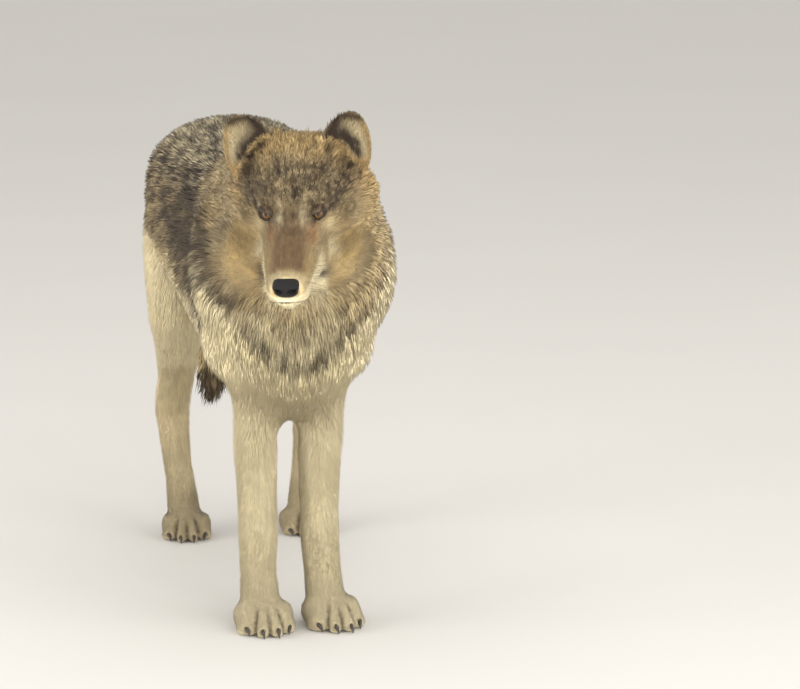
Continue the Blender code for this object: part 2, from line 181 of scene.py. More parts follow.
class Graph:
    """A node tree being built, for a material or for Geometry Nodes."""

    def __init__(self, tree: bpy.types.NodeTree) -> None:
        """Starts on an existing tree."""
        self.tree = tree

    def node(
        self,
        kind: str,
        settings: Mapping[str, object] | None = None,
        inputs: Mapping[str | int, Value] | None = None,
        output: str | int = 0,
    ) -> Socket:
        """Adds one node.

        Args:
            kind: The node's type.
            settings: Its properties, which are set first.
            inputs: The value or link for each input, by name or by place.
            output: The output to return, by name or by place among those in use.

        Returns:
            The chosen output.
        """
        made = self.tree.nodes.new(kind)
        for key, value in (settings or {}).items():
            setattr(made, key, value)
        for key, value in (inputs or {}).items():
            self.feed(self.pick(made.inputs, key), value)
        if not made.outputs:
            return Socket(self, None)
        return Socket(self, self.pick(made.outputs, output))

    @staticmethod
    def pick(sockets: Iterable[bpy.types.NodeSocket], key: str | int) -> bpy.types.NodeSocket:
        """The socket in use with that name or place."""
        used = [s for s in sockets if s.enabled]
        return used[key] if isinstance(key, int) else next(s for s in used if s.name == key)

    def feed(self, socket: bpy.types.NodeSocket, value: Value) -> None:
        """Links or sets one input."""
        if isinstance(value, Socket):
            self.tree.links.new(value.socket, socket)
        elif isinstance(value, (list, tuple)) and len(value) == 3 and socket.type == "RGBA":
            socket.default_value = (*value, 1.0)
        else:
            socket.default_value = value

    def vector(self, operation: str, *values: Value, output: str | int = 0) -> Socket:
        """A Vector Math node."""
        return self.node("ShaderNodeVectorMath", {"operation": operation}, dict(enumerate(values)), output)

    def split(self, vector: Socket) -> tuple[Socket, Socket, Socket]:
        """A vector's three numbers."""
        parts = self.node("ShaderNodeSeparateXYZ", None, {"Vector": vector}).socket.node.outputs
        return tuple(Socket(self, part) for part in parts)

    def scaled(self, vector: Value, by: Value) -> Socket:
        """A vector times a number."""
        return self.node("ShaderNodeVectorMath", {"operation": "SCALE"}, {"Vector": vector, "Scale": by})


class ShaderGraph(Graph):
    """The node tree of a new material with one Principled shader."""

    def __init__(self, name: str) -> None:
        """Makes the material and clears its tree."""
        self.material = bpy.data.materials.new(name)
        self.material.use_nodes = True
        super().__init__(self.material.node_tree)
        self.tree.nodes.clear()

    def attribute(self, name: str) -> Socket:
        """A number that the mesh holds at each vertex."""
        return self.node("ShaderNodeAttribute", {"attribute_name": name}, output="Fac")

    def place(self, name: str | None = None) -> Socket:
        """The object's own coordinates, or a vector that the mesh holds."""
        if name:
            return self.node("ShaderNodeAttribute", {"attribute_name": name}, output="Vector")
        return self.node("ShaderNodeTexCoord", output="Object")

    def noise(self, scale: float, detail: float = 2.0, place: Socket | None = None) -> Socket:
        """Smooth noise from 0 to 1, of that many cells to a metre."""
        inputs = {"Vector": place or self.place(), "Scale": scale, "Detail": detail}
        return self.node("ShaderNodeTexNoise", None, inputs, "Fac")

    def mix(self, factor: Value, first: Value, second: Value, blend: str = "MIX") -> Socket:
        """Two colours mixed by the factor."""
        settings = {"data_type": "RGBA", "blend_type": blend, "clamp_factor": True}
        return self.node("ShaderNodeMix", settings, {"Factor": factor, "A": first, "B": second}, "Result")

    def bumped(
        self, height: Socket, distance: float, strength: float = 1.0, normal: Socket | None = None
    ) -> Socket:
        """A normal, the surface's own unless another is given, bent by a height."""
        inputs = {"Height": height, "Distance": distance, "Strength": strength}
        if normal:
            inputs["Normal"] = normal
        return self.node("ShaderNodeBump", None, inputs)

    def shade(self, **inputs: Value) -> bpy.types.Material:
        """Ends the tree in a Principled shader.

        Args:
            **inputs: Its inputs, with underscores for the spaces in their names.

        Returns:
            The material.
        """
        named = {key.replace("_", " "): value for key, value in inputs.items()}
        shader = self.node("ShaderNodeBsdfPrincipled", None, named)
        self.node("ShaderNodeOutputMaterial", None, {"Surface": shader})
        return self.material


class GeometryGraph(Graph):
    """A new Geometry Nodes tree that plants small shapes on a geometry and makes them real."""

    def __init__(self, name: str, source: str, sizes: Sequence[str]) -> None:
        """Makes the tree and its named inputs, with a seed and a finish among them.

        Args:
            name: The tree's name.
            source: The name of the input that takes the geometry.
            sizes: The names of the inputs that take numbers.
        """
        super().__init__(bpy.data.node_groups.new(name, "GeometryNodeTree"))
        kinds = {source: "Geometry"} | dict.fromkeys(sizes, "Float") | {"Seed": "Int", "Finish": "Material"}
        face = self.tree.interface
        for key, kind in kinds.items():
            face.new_socket(key, in_out="INPUT", socket_type=f"NodeSocket{kind}")
        face.new_socket("Made", in_out="OUTPUT", socket_type="NodeSocketGeometry")
        inputs = self.tree.nodes.new("NodeGroupInput")
        self.given = {s.name: Socket(self, s) for s in inputs.outputs if s.name}

    def named(self, name: str, kind: str = "FLOAT_VECTOR") -> Socket:
        """An attribute of the geometry."""
        return self.node("GeometryNodeInputNamedAttribute", {"data_type": kind}, {"Name": name}, "Attribute")

    def stored(self, geometry: Socket, kind: str, domain: str, name: str, value: Socket) -> Socket:
        """The geometry with an attribute more."""
        inputs = {"Geometry": geometry, "Name": name, "Value": value}
        return self.node("GeometryNodeStoreNamedAttribute", {"data_type": kind, "domain": domain}, inputs)

    def chance(self, low: Value, high: Value, turn: int = 0, kind: str = "FLOAT") -> Socket:
        """A random value for each point, from the seed's own turn."""
        seed = self.given["Seed"] + turn if turn else self.given["Seed"]
        inputs = {"Min": low, "Max": high, "Seed": seed}
        return self.node("FunctionNodeRandomValue", {"data_type": kind}, inputs)

    def turned(self, axes: tuple[str, str], first: Value, second: Value) -> Socket:
        """The turn that lays the first axis along a way, and the second near another."""
        settings = {"primary_axis": axes[0], "secondary_axis": axes[1]}
        inputs = {"Primary Axis": first, "Secondary Axis": second}
        return self.node("FunctionNodeAxesToRotation", settings, inputs)

    def planted(self, inputs: Mapping[str | int, Value]) -> Socket:
        """Shapes set on points, and made real."""
        made = self.node("GeometryNodeInstanceOnPoints", None, inputs)
        return self.node("GeometryNodeRealizeInstances", None, {"Geometry": made})

    def finished(self, geometry: Socket) -> bpy.types.NodeTree:
        """Ends the tree in the geometry, with its finish."""
        inputs = {"Geometry": geometry, "Material": self.given["Finish"]}
        self.node("NodeGroupOutput", None, {"Made": self.node("GeometryNodeSetMaterial", None, inputs)})
        return self.tree


# Finishes ------------------------------------------------------------------------------------------
@dataclass(frozen=True)
class CoatFinish:
    """Wolf hair: grey-brown underneath the tan, rust, cream and sable markings, with dark guard tips and
    painted shade at the roots.
    """

    grey: Colour = linear(160, 142, 108)
    tan: Colour = linear(218, 182, 116)
    rust: Colour = linear(168, 120, 78)
    cream: Colour = linear(252, 236, 192)
    sable: Colour = linear(66, 53, 42)
    tip: Colour = linear(48, 39, 31)
    lie_share: float = 0.7

    def material(self) -> bpy.types.Material:
        """Builds the material that skin and coat share."""
        g = ShaderGraph("wolf_coat")
        along, tone, deep, grizzle, pale = map(g.attribute, ("along", "tone", "deep", "grizzle", "cream"))
        patch = g.noise(30.0, 3.0)
        hairs = g.noise(1500.0, 2.0)
        colour = self.grey
        for name in ("tan", "rust", "cream", "sable"):
            colour = g.mix(g.attribute(name), colour, getattr(self, name))
        swing = 0.30 + grizzle * 0.34
        level = 0.90 + pale * 0.10 + (tone - 0.5) * swing + (patch - 0.5) * 0.16 + (hairs - 0.5) * 0.26
        # The roots are darkened, most in deep hair and least in pale hair: painted shade within the coat.
        root = 1.0 - (1.0 - along.step(0.0, 0.45)) * (0.05 + deep * (0.22 - pale * 0.14))
        shade = g.node("ShaderNodeCombineColor", None, dict.fromkeys(range(3), level * root))
        colour = g.mix(1.0, colour, shade, "MULTIPLY")
        plain = 1.0 - g.attribute("sable")
        band = along.step(0.25, 0.5) * (1.0 - along.step(0.62, 0.85)) * grizzle * tone * plain
        colour = g.mix(band * 0.45, colour, self.cream)
        tipped = along.step(0.60, 0.88) * grizzle * (tone * -2.4 + 1.75).step(0.0, 1.0)
        colour = g.mix(tipped * 0.92, colour, self.tip)
        own = g.scaled(g.node("ShaderNodeNewGeometry", None, None, "Normal"), 1.0 - self.lie_share)
        lie = g.scaled(g.place("up"), self.lie_share)
        normal = g.vector("NORMALIZE", g.vector("ADD", lie, own))
        return g.shade(
            Base_Color=colour,
            Roughness=0.78,
            Normal=g.bumped(hairs, 0.0005, 0.5, normal),
            Specular_IOR_Level=0.22,
            Sheen_Weight=0.15,
            Sheen_Roughness=0.5,
        )


@dataclass(frozen=True)
class NoseFinish:
    """Bare, moist, pebbled black skin, with the nostrils, their slits and the groove painted black as painted
    shade.
    """

    dark: Colour = linear(10, 9, 9)
    worn: Colour = linear(28, 25, 24)

    def material(self) -> bpy.types.Material:
        """Builds the nose's material."""
        g = ShaderGraph("wolf_nose")
        cells = g.node(
            "ShaderNodeTexVoronoi",
            {"feature": "DISTANCE_TO_EDGE"},
            {"Vector": g.place(), "Scale": 760.0},
            "Distance",
        )
        pebble = cells.step(0.0, 0.28)
        pores = g.noise(2600.0, 2.0)
        # The pit attribute paints the nostrils, their slits and the groove black: painted shade in the
        # recesses.
        colour = g.mix(g.attribute("pit"), g.mix(g.noise(90.0) * 0.8, self.dark, self.worn), linear(0, 0, 0))
        return g.shade(
            Base_Color=colour,
            Roughness=0.42 + g.noise(160.0) * 0.15,
            Specular_IOR_Level=0.28,
            Normal=g.bumped(pebble + pores * 0.2, 0.0005, 0.8),
        )


@dataclass(frozen=True)
class EyeFinish:
    """An amber-brown iris round a small pupil, in a dark-rimmed white, under a clear wet coat."""

    pupil: float = 9.5
    iris: float = 40.0
    amber: Colour = linear(122, 88, 46)
    brown: Colour = linear(70, 46, 24)
    white: Colour = linear(44, 35, 29)

    def material(self) -> bpy.types.Material:
        """Builds the eyeball's material. Its mesh holds polar, the angle from the pupil in degrees."""
        g = ShaderGraph("wolf_eye")
        polar = g.attribute("polar")
        fibres = g.noise(5.0, 4.0, g.place("fibre"))
        colour = g.mix(polar.step(self.pupil + 2.0, self.iris * 0.75), self.brown, self.amber)
        colour = g.mix(fibres.step(0.35, 0.7) * 0.7, colour, self.brown)
        colour = g.mix(polar.step(self.iris * 0.78, self.iris), colour, linear(20, 13, 9))
        colour = g.mix(polar.step(self.iris + 2.0, self.iris + 9.0), colour, self.white)
        colour = g.mix(1.0 - polar.step(self.pupil, self.pupil + 1.5), colour, linear(3, 3, 3))
        return g.shade(
            Base_Color=colour,
            Roughness=0.5,
            Specular_IOR_Level=0.1,
            Coat_Weight=0.3,
            Coat_Roughness=0.05,
            Normal=g.bumped(fibres, 0.0002, 0.3),
        )


@dataclass(frozen=True)
class GrainFinish:
    """A finish of two shades, mixed by a fine noise, which can also roughen it and bend its normal."""

    name: str
    dark: Colour
    pale: Colour
    cells: float
    roughness: float
    detail: float = 2.0
    mixed: tuple[float, float, float] | None = None
    swing: float = 0.0
    height: float = 0.0

    def material(self) -> bpy.types.Material:
        """Builds the material."""
        g = ShaderGraph(self.name)
        grain = g.noise(self.cells, self.detail)
        share = grain
        if self.mixed:
            start, end, most = self.mixed
            share = grain.step(start, end) * most
        more = {}
        if self.height:
            more["Normal"] = g.bumped(grain, self.height)
        roughness = self.roughness + grain * self.swing if self.swing else self.roughness
        return g.shade(Base_Color=g.mix(share, self.dark, self.pale), Roughness=roughness, **more)


RIM = GrainFinish(
    "wolf_rim", linear(26, 21, 19), linear(52, 42, 37), 1500.0, 0.3, 3.0, (0.3, 0.8, 1.0), 0.2, 0.0002
)
CLAW = GrainFinish(
    "wolf_claw", linear(46, 40, 35), linear(112, 98, 82), 600.0, 0.42, 4.0, (0.45, 0.8, 0.6), 0.2, 0.0003
)
WHISKER = GrainFinish("wolf_whisker", linear(30, 26, 24), linear(70, 62, 54), 90.0, 0.45)
FLOOR = GrainFinish("studio_floor", linear(212, 209, 203), linear(208, 205, 199), 1.5, 0.8)


# The animal's measures -----------------------------------------------------------------------------
class Head:
    """The head's own axes and landmarks, found from the boxes of the eyes and the nose."""

    eye_set_back = 0.004
    nose_drop = math.atan2(0.031, 0.142)

    def __init__(self) -> None:
        """Works out the axes."""
        left, right = middle_of("eye_left"), middle_of("eye_right")
        across = (left - right).normalized()
        ahead = middle_of("nose") - (left + right) / 2
        ahead -= across * ahead.dot(across)
        ahead.normalize()
        forwards = Matrix.Rotation(self.nose_drop, 3, -across) @ ahead
        if forwards.z < ahead.z:
            forwards = Matrix.Rotation(self.nose_drop, 3, across) @ ahead
        axes = Matrix((across, -forwards, across.cross(-forwards))).transposed()
        origin = (left + right) / 2 + forwards * -self.eye_set_back
        self.axes = np.array(axes)
        self.origin = np.array(origin)

    def to_own(self, points: Array) -> Array:
        """World places in the head's axes."""
        return (points - self.origin) @ self.axes

    def to_world(self, points: Array) -> Array:
        """The head's places in the world."""
        return points @ self.axes.T + self.origin

    def turn(self, directions: Array) -> Array:
        """The head's directions in the world."""
        return directions @ self.axes.T


def middle_of(node: str) -> Vector:
    """The middle of a CAD node's box."""
    low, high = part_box(node)
    return (low + high) / 2


class Lie(Enum):
    """Which way the hair of a part of the body lies."""

    BACK = "back"
    NECK = "neck"
    DOWN = "down"
    PAW = "paw"
    TAIL = "tail"
    HEAD = "head"
    EAR = "ear"


@dataclass(frozen=True)
class Hair:
    """The coat on one part of the body: its depth over the skin and its tufts' sizes, in metres."""

    lie: Lie
    depth: float
    length: float
    half_width: float
    per_square_metre: float


PART_HAIR = {
    "trunk": Hair(Lie.BACK, 0.026, 0.052, 0.00085, 95e3),
    "neck": Hair(Lie.NECK, 0.034, 0.060, 0.00080, 150e3),
    "upper_arm": Hair(Lie.DOWN, 0.012, 0.030, 0.00060, 200e3),
    "thigh": Hair(Lie.DOWN, 0.015, 0.034, 0.00065, 150e3),
    "forearm": Hair(Lie.DOWN, 0.0042, 0.016, 0.00048, 330e3),
    "shank": Hair(Lie.DOWN, 0.0070, 0.020, 0.00052, 260e3),
    "hind_pastern": Hair(Lie.DOWN, 0.0038, 0.014, 0.00048, 330e3),
    "forepaw": Hair(Lie.PAW, 0.0022, 0.009, 0.00045, 400e3),
    "hindpaw": Hair(Lie.PAW, 0.0022, 0.009, 0.00045, 400e3),
    "tail": Hair(Lie.TAIL, 0.028, 0.060, 0.0009, 120e3),
    "ear": Hair(Lie.EAR, 0.0010, 0.0085, 0.00045, 360e3),
    "head": Hair(Lie.HEAD, 0.0060, 0.0200, 0.0006, 220e3),
    "lower_jaw": Hair(Lie.HEAD, 0.0020, 0.0075, 0.00040, 480e3),
}


# The head's hair in four rows, depth, length, half width and tufts to the square metre: the face's own, and
# what the back of the head, the cheeks and the crown add to it.
HEAD_HAIR = (
    (0.0014, 0.0030, 0.0110, 0.0045),
    (0.0066, 0.0074, 0.0220, 0.0110),
    (0.00042, 0.00016, 0.00024, 0.00014),
    (560e3, -200e3, -190e3, -130e3),
)


def part_of(node: str) -> str:
    """The part of PART_HAIR that a CAD node belongs to."""
    return next(part for part in PART_HAIR if node.startswith(part))


# Surfaces ------------------------------------------------------------------------------------------
class Surface:
    """A closed mesh held as arrays, with the averaging that smooths shapes and values over it."""

    def __init__(self, mesh: bpy.types.Mesh) -> None:
        """Reads the mesh."""
        mesh.calc_loop_triangles()
        self.mesh = mesh
        self.points = numbers(mesh.vertices, "co", 3).astype(float)
        self.triangles = numbers(mesh.loop_triangles, "vertices", 3, np.int32)
        self.edges = numbers(mesh.edges, "vertices", 2, np.int32)
        self.count = len(self.points)
        self.degree = np.bincount(self.edges.ravel(), minlength=self.count).clip(1)[:, None]

    def averaged(self, values: Array, rounds: int, share: float | Array = 0.5) -> Array:
        """The values, drawn towards their neighbours' mean.

        Args:
            values: One row, or one number, for each vertex.
            rounds: How many times.
            share: How far they move each time, for all or for each vertex.

        Returns:
            The smoothed values.
        """
        flat = values.ndim == 1
        rows = values[:, None].astype(float) if flat else values.astype(float)
        first, second = self.edges.T
        share = share[:, None] if isinstance(share, np.ndarray) else share
        for _ in range(rounds):
            total = [
                np.bincount(first, row[second], self.count) + np.bincount(second, row[first], self.count)
                for row in rows.T
            ]
            rows = rows + share * (np.stack(total, 1) / self.degree - rows)
        return rows[:, 0] if flat else rows

    def relax(self, rounds: int, share: float | Array = 0.5) -> None:
        """Smooths the shape, and swells it back as far as that shrank it.

        Args:
            rounds: How many times.
            share: How far the points move each time, for all or for each one.
        """
        for _ in range(rounds):
            self.points = self.averaged(self.points, 1, share)
            self.points = self.averaged(self.points, 1, share * -1.04)

    def normals(self) -> Array:
        """The outward direction at each vertex."""
        a, b, c = (self.points[self.triangles[:, k]] for k in range(3))
        faces = np.cross(b - a, c - a)
        total = np.zeros_like(self.points)
        for k in range(3):
            for axis in range(3):
                total[:, axis] += np.bincount(self.triangles[:, k], faces[:, axis], self.count)
        return unit(total)

    def areas(self) -> Array:
        """Each vertex's share of the surface, in square metres."""
        a, b, c = (self.points[self.triangles[:, k]] for k in range(3))
        third = np.linalg.norm(np.cross(b - a, c - a), axis=1) / 6.0
        return sum(np.bincount(self.triangles[:, k], third, self.count) for k in range(3))

    def thickness(self, normals: Array, most: float = 0.12) -> Array:
        """How thick the body is straight in from each vertex, up to a limit."""
        tree = BVHTree.FromPolygons(self.points.tolist(), self.triangles.tolist())
        found = np.full(self.count, most)
        starts = self.points - normals * 0.0004
        for i, (start, inwards) in enumerate(zip(starts.tolist(), (-normals).tolist())):
            hit = tree.ray_cast(start, inwards, most)
            if hit[3] is not None:
                found[i] = hit[3]
        return found

    def write_back(self) -> None:
        """Gives the mesh the surface's points."""
        self.mesh.vertices.foreach_set("co", self.points.astype(np.float32).ravel())
        self.mesh.update()

    def store(self, name: str, values: Array) -> None:
        """Writes a number or a vector for each vertex as a named attribute."""
        kind, key = ("FLOAT", "value") if values.ndim == 1 else ("FLOAT_VECTOR", "vector")
        held = self.mesh.attributes.get(name) or self.mesh.attributes.new(name, kind, "POINT")
        held.data.foreach_set(key, values.astype(np.float32).ravel())


def placed(name: str, data: bpy.types.ID) -> bpy.types.Object:
    """A new object at the origin that holds the data, linked to the scene."""
    made = bpy.data.objects.new(name, data)
    bpy.context.scene.collection.objects.link(made)
    return made


def new_piece(name: str, mesh: bpy.types.Mesh, finish: bpy.types.Material | None = None) -> bpy.types.Object:
    """A smooth-shaded object at the origin that shows the mesh.

    Args:
        name: The piece's name.
        mesh: Its mesh, in place.
        finish: Its only material.

    Returns:
        The object, linked to the scene.
    """
    piece = placed(name, mesh)
    mesh.name = name
    if finish:
        mesh.materials.clear()
        mesh.materials.append(finish)
    mesh.shade_smooth()
    return piece


def baked_mesh(piece: bpy.types.Object) -> bpy.types.Mesh:
    """The mesh of a piece as its modifiers leave it. The piece is removed."""
    graph = bpy.context.evaluated_depsgraph_get()
    shown = piece.evaluated_get(graph)
    mesh = bpy.data.meshes.new_from_object(shown, preserve_all_data_layers=True, depsgraph=graph)
    bpy.data.objects.remove(piece)
    return mesh


def grow_nodes(piece: bpy.types.Object, tree: bpy.types.NodeTree, sizes: Mapping[str, object]) -> None:
    """Puts a Geometry Nodes tree on a piece, with its named inputs set by their identifiers.

    Args:
        piece: The piece that the tree works on.
        tree: The node tree.
        sizes: The value of each named input.
    """
    step = piece.modifiers.new("grow", "NODES")
    step.node_group = tree
    for item in tree.interface.items_tree:
        if item.name in sizes and item.in_out == "INPUT":
            step[item.identifier] = sizes[item.name]


@contextmanager
def editing(mesh: bpy.types.Mesh) -> Iterator[bmesh.types.BMesh]:
    """The mesh opened for editing, and written back afterwards."""
    builder = bmesh.new()
    builder.from_mesh(mesh)
    yield builder
    builder.to_mesh(mesh)
    builder.free()


def mesh_from(name: str, points: Array, faces: Sequence[Sequence[int]]) -> bpy.types.Mesh:
    """A mesh of the points and faces, with its faces turned outwards."""
    mesh = bpy.data.meshes.new(name)
    mesh.from_pydata(np.asarray(points).tolist(), [], [list(map(int, f)) for f in faces])
    with editing(mesh) as builder:
        bmesh.ops.recalc_face_normals(builder, faces=builder.faces)
    return mesh


def merged_nodes(name: str, nodes: Iterable[str], swelling: float = 0.0) -> bpy.types.Mesh:
    """A copy of some CAD nodes as one mesh, with the corners that lie together merged.

    Args:
        name: The mesh's name.
        nodes: The nodes.
        swelling: How far every corner moves outwards.

    Returns:
        The mesh.
    """
    mesh = bpy.data.meshes.new(name)
    with editing(mesh) as builder:
        for node in nodes:
            builder.from_mesh(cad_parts[node].data)
        bmesh.ops.remove_doubles(builder, verts=builder.verts, dist=MERGE_DISTANCE)
        builder.normal_update()
        for corner in builder.verts:
            corner.co += corner.normal * swelling
    return mesh


def show(piece: bpy.types.Object, slot: str, *replaced: str) -> None:
    """Hands a finished piece to the frame.

    Args:
        piece: The piece, at the origin.
        slot: Not used.
        *replaced: The CAD nodes that it stands for.
    """
    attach(piece, ROOT)
    if replaced:
        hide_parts(*replaced)
    log.info("%s: %d faces", piece.name, len(piece.data.polygons))


# Eyes ----------------------------------------------------------------------------------------------
@dataclass
class EyeOpening:
    """The almond between one eye's lids, on a sphere about the eyeball."""

    head: Head
    side: float
    radius: float = 0.0118
    across: tuple[float, float, float] = (0.830, 0.360, 0.400)
    outwards: tuple[float, float, float] = (0.210, -0.860, 0.465)
    half_length: float = 0.93
    upper: float = 0.52
    lower: float = 0.24
    skew: float = 0.45
    lid: float = 0.0012
    sunk: float = 0.0035
    reach: float = 0.034

    def __post_init__(self) -> None:
        """Works out the opening's own axes in the head's frame: along, up and out."""
        mirror = np.array([self.side, 1.0, 1.0])
        node = "eye_left" if self.side > 0 else "eye_right"
        self.centre = self.head.to_own(np.array(middle_of(node)))
        along = np.array(self.across) * mirror
        along /= np.linalg.norm(along)
        out = np.array(self.outwards) * mirror
        out -= along * (out @ along)
        out /= np.linalg.norm(out)
        up = np.cross(along, out) * -self.side
        self.axes = np.stack([along, up if up[2] > 0 else -up, out], 1)

    def level(self, offsets: Array) -> tuple[Array, Array]:
        """Where places lie relative to the almond.

        Args:
            offsets: Places in the head's frame, from the eye's centre.

        Returns:
            A level that is 1 on the lids' edge and grows outwards, and the share that faces out.
        """
        x, y, z = (unit(offsets) @ self.axes).T
        reach = np.where(y > 0, self.upper, self.lower)
        x = x + self.skew * np.maximum(y, 0.0)
        level = (x / self.half_length) ** 2 + (np.abs(y) / reach) ** 1.25
        return np.where(z > 0, level, 40.0), z

    def darkness(self, local: Array) -> Array:
        """How much of the lids' dark edging places have: a line above, painted shade over it, and a broad
        band below and within.
        """
        offsets = local - self.centre
        level, _ = self.level(offsets)
        rise = (unit(offsets) @ self.axes)[:, 1]
        line = 1.0 - ramp(level, 1.25, 1.75)
        # Painted shade on the upper lid, under the brow.
        shade = 0.5 * (1.0 - ramp(level, 1.5, 3.2)) * ramp(rise, 0.0, 0.15)
        band = (1.0 - ramp(level, 2.1, 3.4)) * ramp(rise, 0.02, -0.08)
        corner = self.axes @ np.array([-1.08, -0.30, 0.45]) * self.radius
        duct = bump(offsets, corner, (0.0045, 0.0050, 0.0045))
        tail = bump(offsets, self.axes @ np.array([1.25, 0.10, 0.30]) * self.radius, (0.0060, 0.0050, 0.0028))
        close = np.linalg.norm(offsets, axis=1) < 0.026
        return np.maximum.reduce([line, shade, band, duct, 0.6 * tail]) * close

    def rim(self, count: int) -> Array:
        """Points round the lids' edge, in the head's frame."""
        around = np.linspace(0.0, 2.0 * np.pi, count, endpoint=False)
        x = self.half_length * np.cos(around)
        reach = np.where(np.sin(around) > 0, self.upper, self.lower)
        y = np.sign(np.sin(around)) * reach * (1.0 - np.cos(around) ** 2) ** 0.8
        x = x - self.skew * np.maximum(y, 0.0)
        z = np.sqrt(np.maximum(1.0 - x**2 - y**2, 0.0))
        return np.stack([x, y, z], 1) @ self.axes.T * (self.radius + 0.0005) + self.centre


@dataclass
class Eyes:
    """Both eyeballs and the dark rims of their lids."""

    head: Head
    gaze: tuple[float, float, float] = (0.13, -0.73, 0.66)
    cornea_rise: float = 0.0007
    rings: int = 56
    spokes: int = 64
    rim_points: int = 72
    rim_sides: int = 10
    openings: dict[str, EyeOpening] = field(default_factory=dict)

    def __post_init__(self) -> None:
        """Places both openings."""
        self.openings = {name: EyeOpening(self.head, side) for name, side in SIDES.items()}

    def ball_mesh(self, opening: EyeOpening) -> bpy.types.Mesh:
        """One eyeball with its cornea, its pole at the pupil.

        Args:
            opening: The lids' opening that the ball sits behind.

        Returns:
            The mesh, holding polar and fibre for its material.
        """
        out = np.array(self.gaze)
        out /= np.linalg.norm(out)
        side = unit(np.cross(out, [0.0, 0.0, 1.0])[None])[0]
        up = np.cross(side, out)
        polar = np.linspace(0.0, 1.0, self.rings + 1)[1:-1] ** 1.4 * np.pi
        around = np.arange(self.spokes) * 2.0 * np.pi / self.spokes
        t, a = (grid.ravel() for grid in np.meshgrid(polar, around, indexing="ij"))
        t, a = np.append(t, [0.0, np.pi]), np.append(a, [0.0, 0.0])
        radius = opening.radius - 0.0002 + self.cornea_rise * (1.0 - ramp(np.degrees(t), 20.0, 42.0))
        ring = np.cos(a)[:, None] * side + np.sin(a)[:, None] * up
        local = (np.cos(t)[:, None] * out + np.sin(t)[:, None] * ring) * radius[:, None] + opening.centre
        faces = list(grid_faces(self.rings - 1, self.spokes))
        last = (self.rings - 2) * self.spokes
        tip, back = len(t) - 2, len(t) - 1
        for k in range(self.spokes):
            n = (k + 1) % self.spokes
            faces += [(tip, n, k), (back, last + k, last + n)]
        mesh = mesh_from("eyeball", self.head.to_world(local), faces)
        surface = Surface(mesh)
        surface.store("polar", np.degrees(t))
        surface.store("fibre", np.stack([np.cos(a), np.sin(a), t * 0.6], 1))
        return mesh

    def rim_mesh(self, opening: EyeOpening) -> bpy.types.Mesh:
        """The lids' moist edge: a closed cord round the almond, thicker above."""
        line = opening.rim(self.rim_points)
        ahead = unit(np.roll(line, -1, 0) - np.roll(line, 1, 0))
        out = unit(line - opening.centre)
        over = np.cross(ahead, out)
        thick = 0.00075 + 0.0002 * ramp((line - opening.centre) @ opening.axes[:, 1], 0.0, 0.003)
        around = np.arange(self.rim_sides) * 2.0 * np.pi / self.rim_sides
        rows = [
            line[:, None] + thick[:, None, None] * (np.cos(w) * out[:, None] + np.sin(w) * over[:, None])
            for w in around
        ]
        points = np.concatenate(rows, 1).reshape(-1, 3)
        faces = grid_faces(self.rim_points, self.rim_sides, closed=True)
        return mesh_from("eye_rim", self.head.to_world(points), list(faces))

    def build(self, ball: bpy.types.Material, rim: bpy.types.Material) -> None:
        """Makes the eyeballs and the lid rims."""
        for name, opening in self.openings.items():
            show(new_piece(f"eyeball_{name}", self.ball_mesh(opening), ball), "eye_amber", f"eye_{name}")
            show(new_piece(f"eyelid_rim_{name}", self.rim_mesh(opening), rim), "nose_skin")


def grid_faces(rows: int, columns: int, closed: bool = False) -> Iterable[tuple[int, int, int, int]]:
    """The quads of a grid that wraps round its columns, and round its rows too if closed."""
    for i in range(rows if closed else rows - 1):
        j = (i + 1) % rows
        for k in range(columns):
            n = (k + 1) % columns
            yield (i * columns + k, i * columns + n, j * columns + n, j * columns + k)


# Skin ----------------------------------------------------------------------------------------------
@dataclass
class Mouth:
    """The line where the lips meet, in the head's frame: it runs back and down, then up to the corner."""

    backs: tuple[float, ...] = (-0.152, -0.140, -0.115, -0.080, -0.050)
    levels: tuple[float, ...] = (-0.0575, -0.0625, -0.0705, -0.0755, -0.0665)
    corner: float = -0.046

    def above(self, local: Array) -> Array:
        """How far places lie above the line, in metres."""
        return local[:, 2] - np.interp(local[:, 1], self.backs, self.levels)

    def nearness(self, local: Array, width: float) -> Array:
        """1 on the line, sinking to a third at the width."""
        along = ramp(local[:, 1], self.corner + 0.004, self.corner - 0.006)
        return np.exp(-((self.above(local) / width) ** 2)) * along


class Toes:
    """The grooves between neighbouring toes, found from the claws' boxes."""

    depth = 0.0065
    half_width = 0.0034
    back = 0.050

    def grooves(self, points: Array) -> Array:
        """How deep in a groove places are, from 0 to 1.

        Args:
            points: Places in the world.

        Returns:
            1 along the bottom of each groove.
        """
        found = np.zeros(len(points))
        for limb in Claws.limbs:
            for side in SIDES:
                claws = [np.array(middle_of(f"claw_{limb}_{side}_{toe + 1}")) for toe in range(Claws.toes)]
                paw = np.array(middle_of(f"{limb}paw_{side}"))
                near = np.linalg.norm(points[:, :2] - paw[:2], axis=1) < 0.11
                for first, second in zip(claws, claws[1:]):
                    start = (first + second)[:2] / 2
                    lead = unit((paw[:2] + (0.0, 0.03) - start)[None])[0]
                    away = points[:, :2] - start
                    along = away @ lead
                    aside = np.abs(away @ (-lead[1], lead[0]))
                    fade = ramp(along, self.back, self.back * 0.35) * ramp(along, -0.03, -0.02)
                    cut = np.exp(-((aside / self.half_width) ** 2)) * fade * near
                    found = np.maximum(found, cut * ramp(points[:, 2], 0.09, 0.07))
        return found


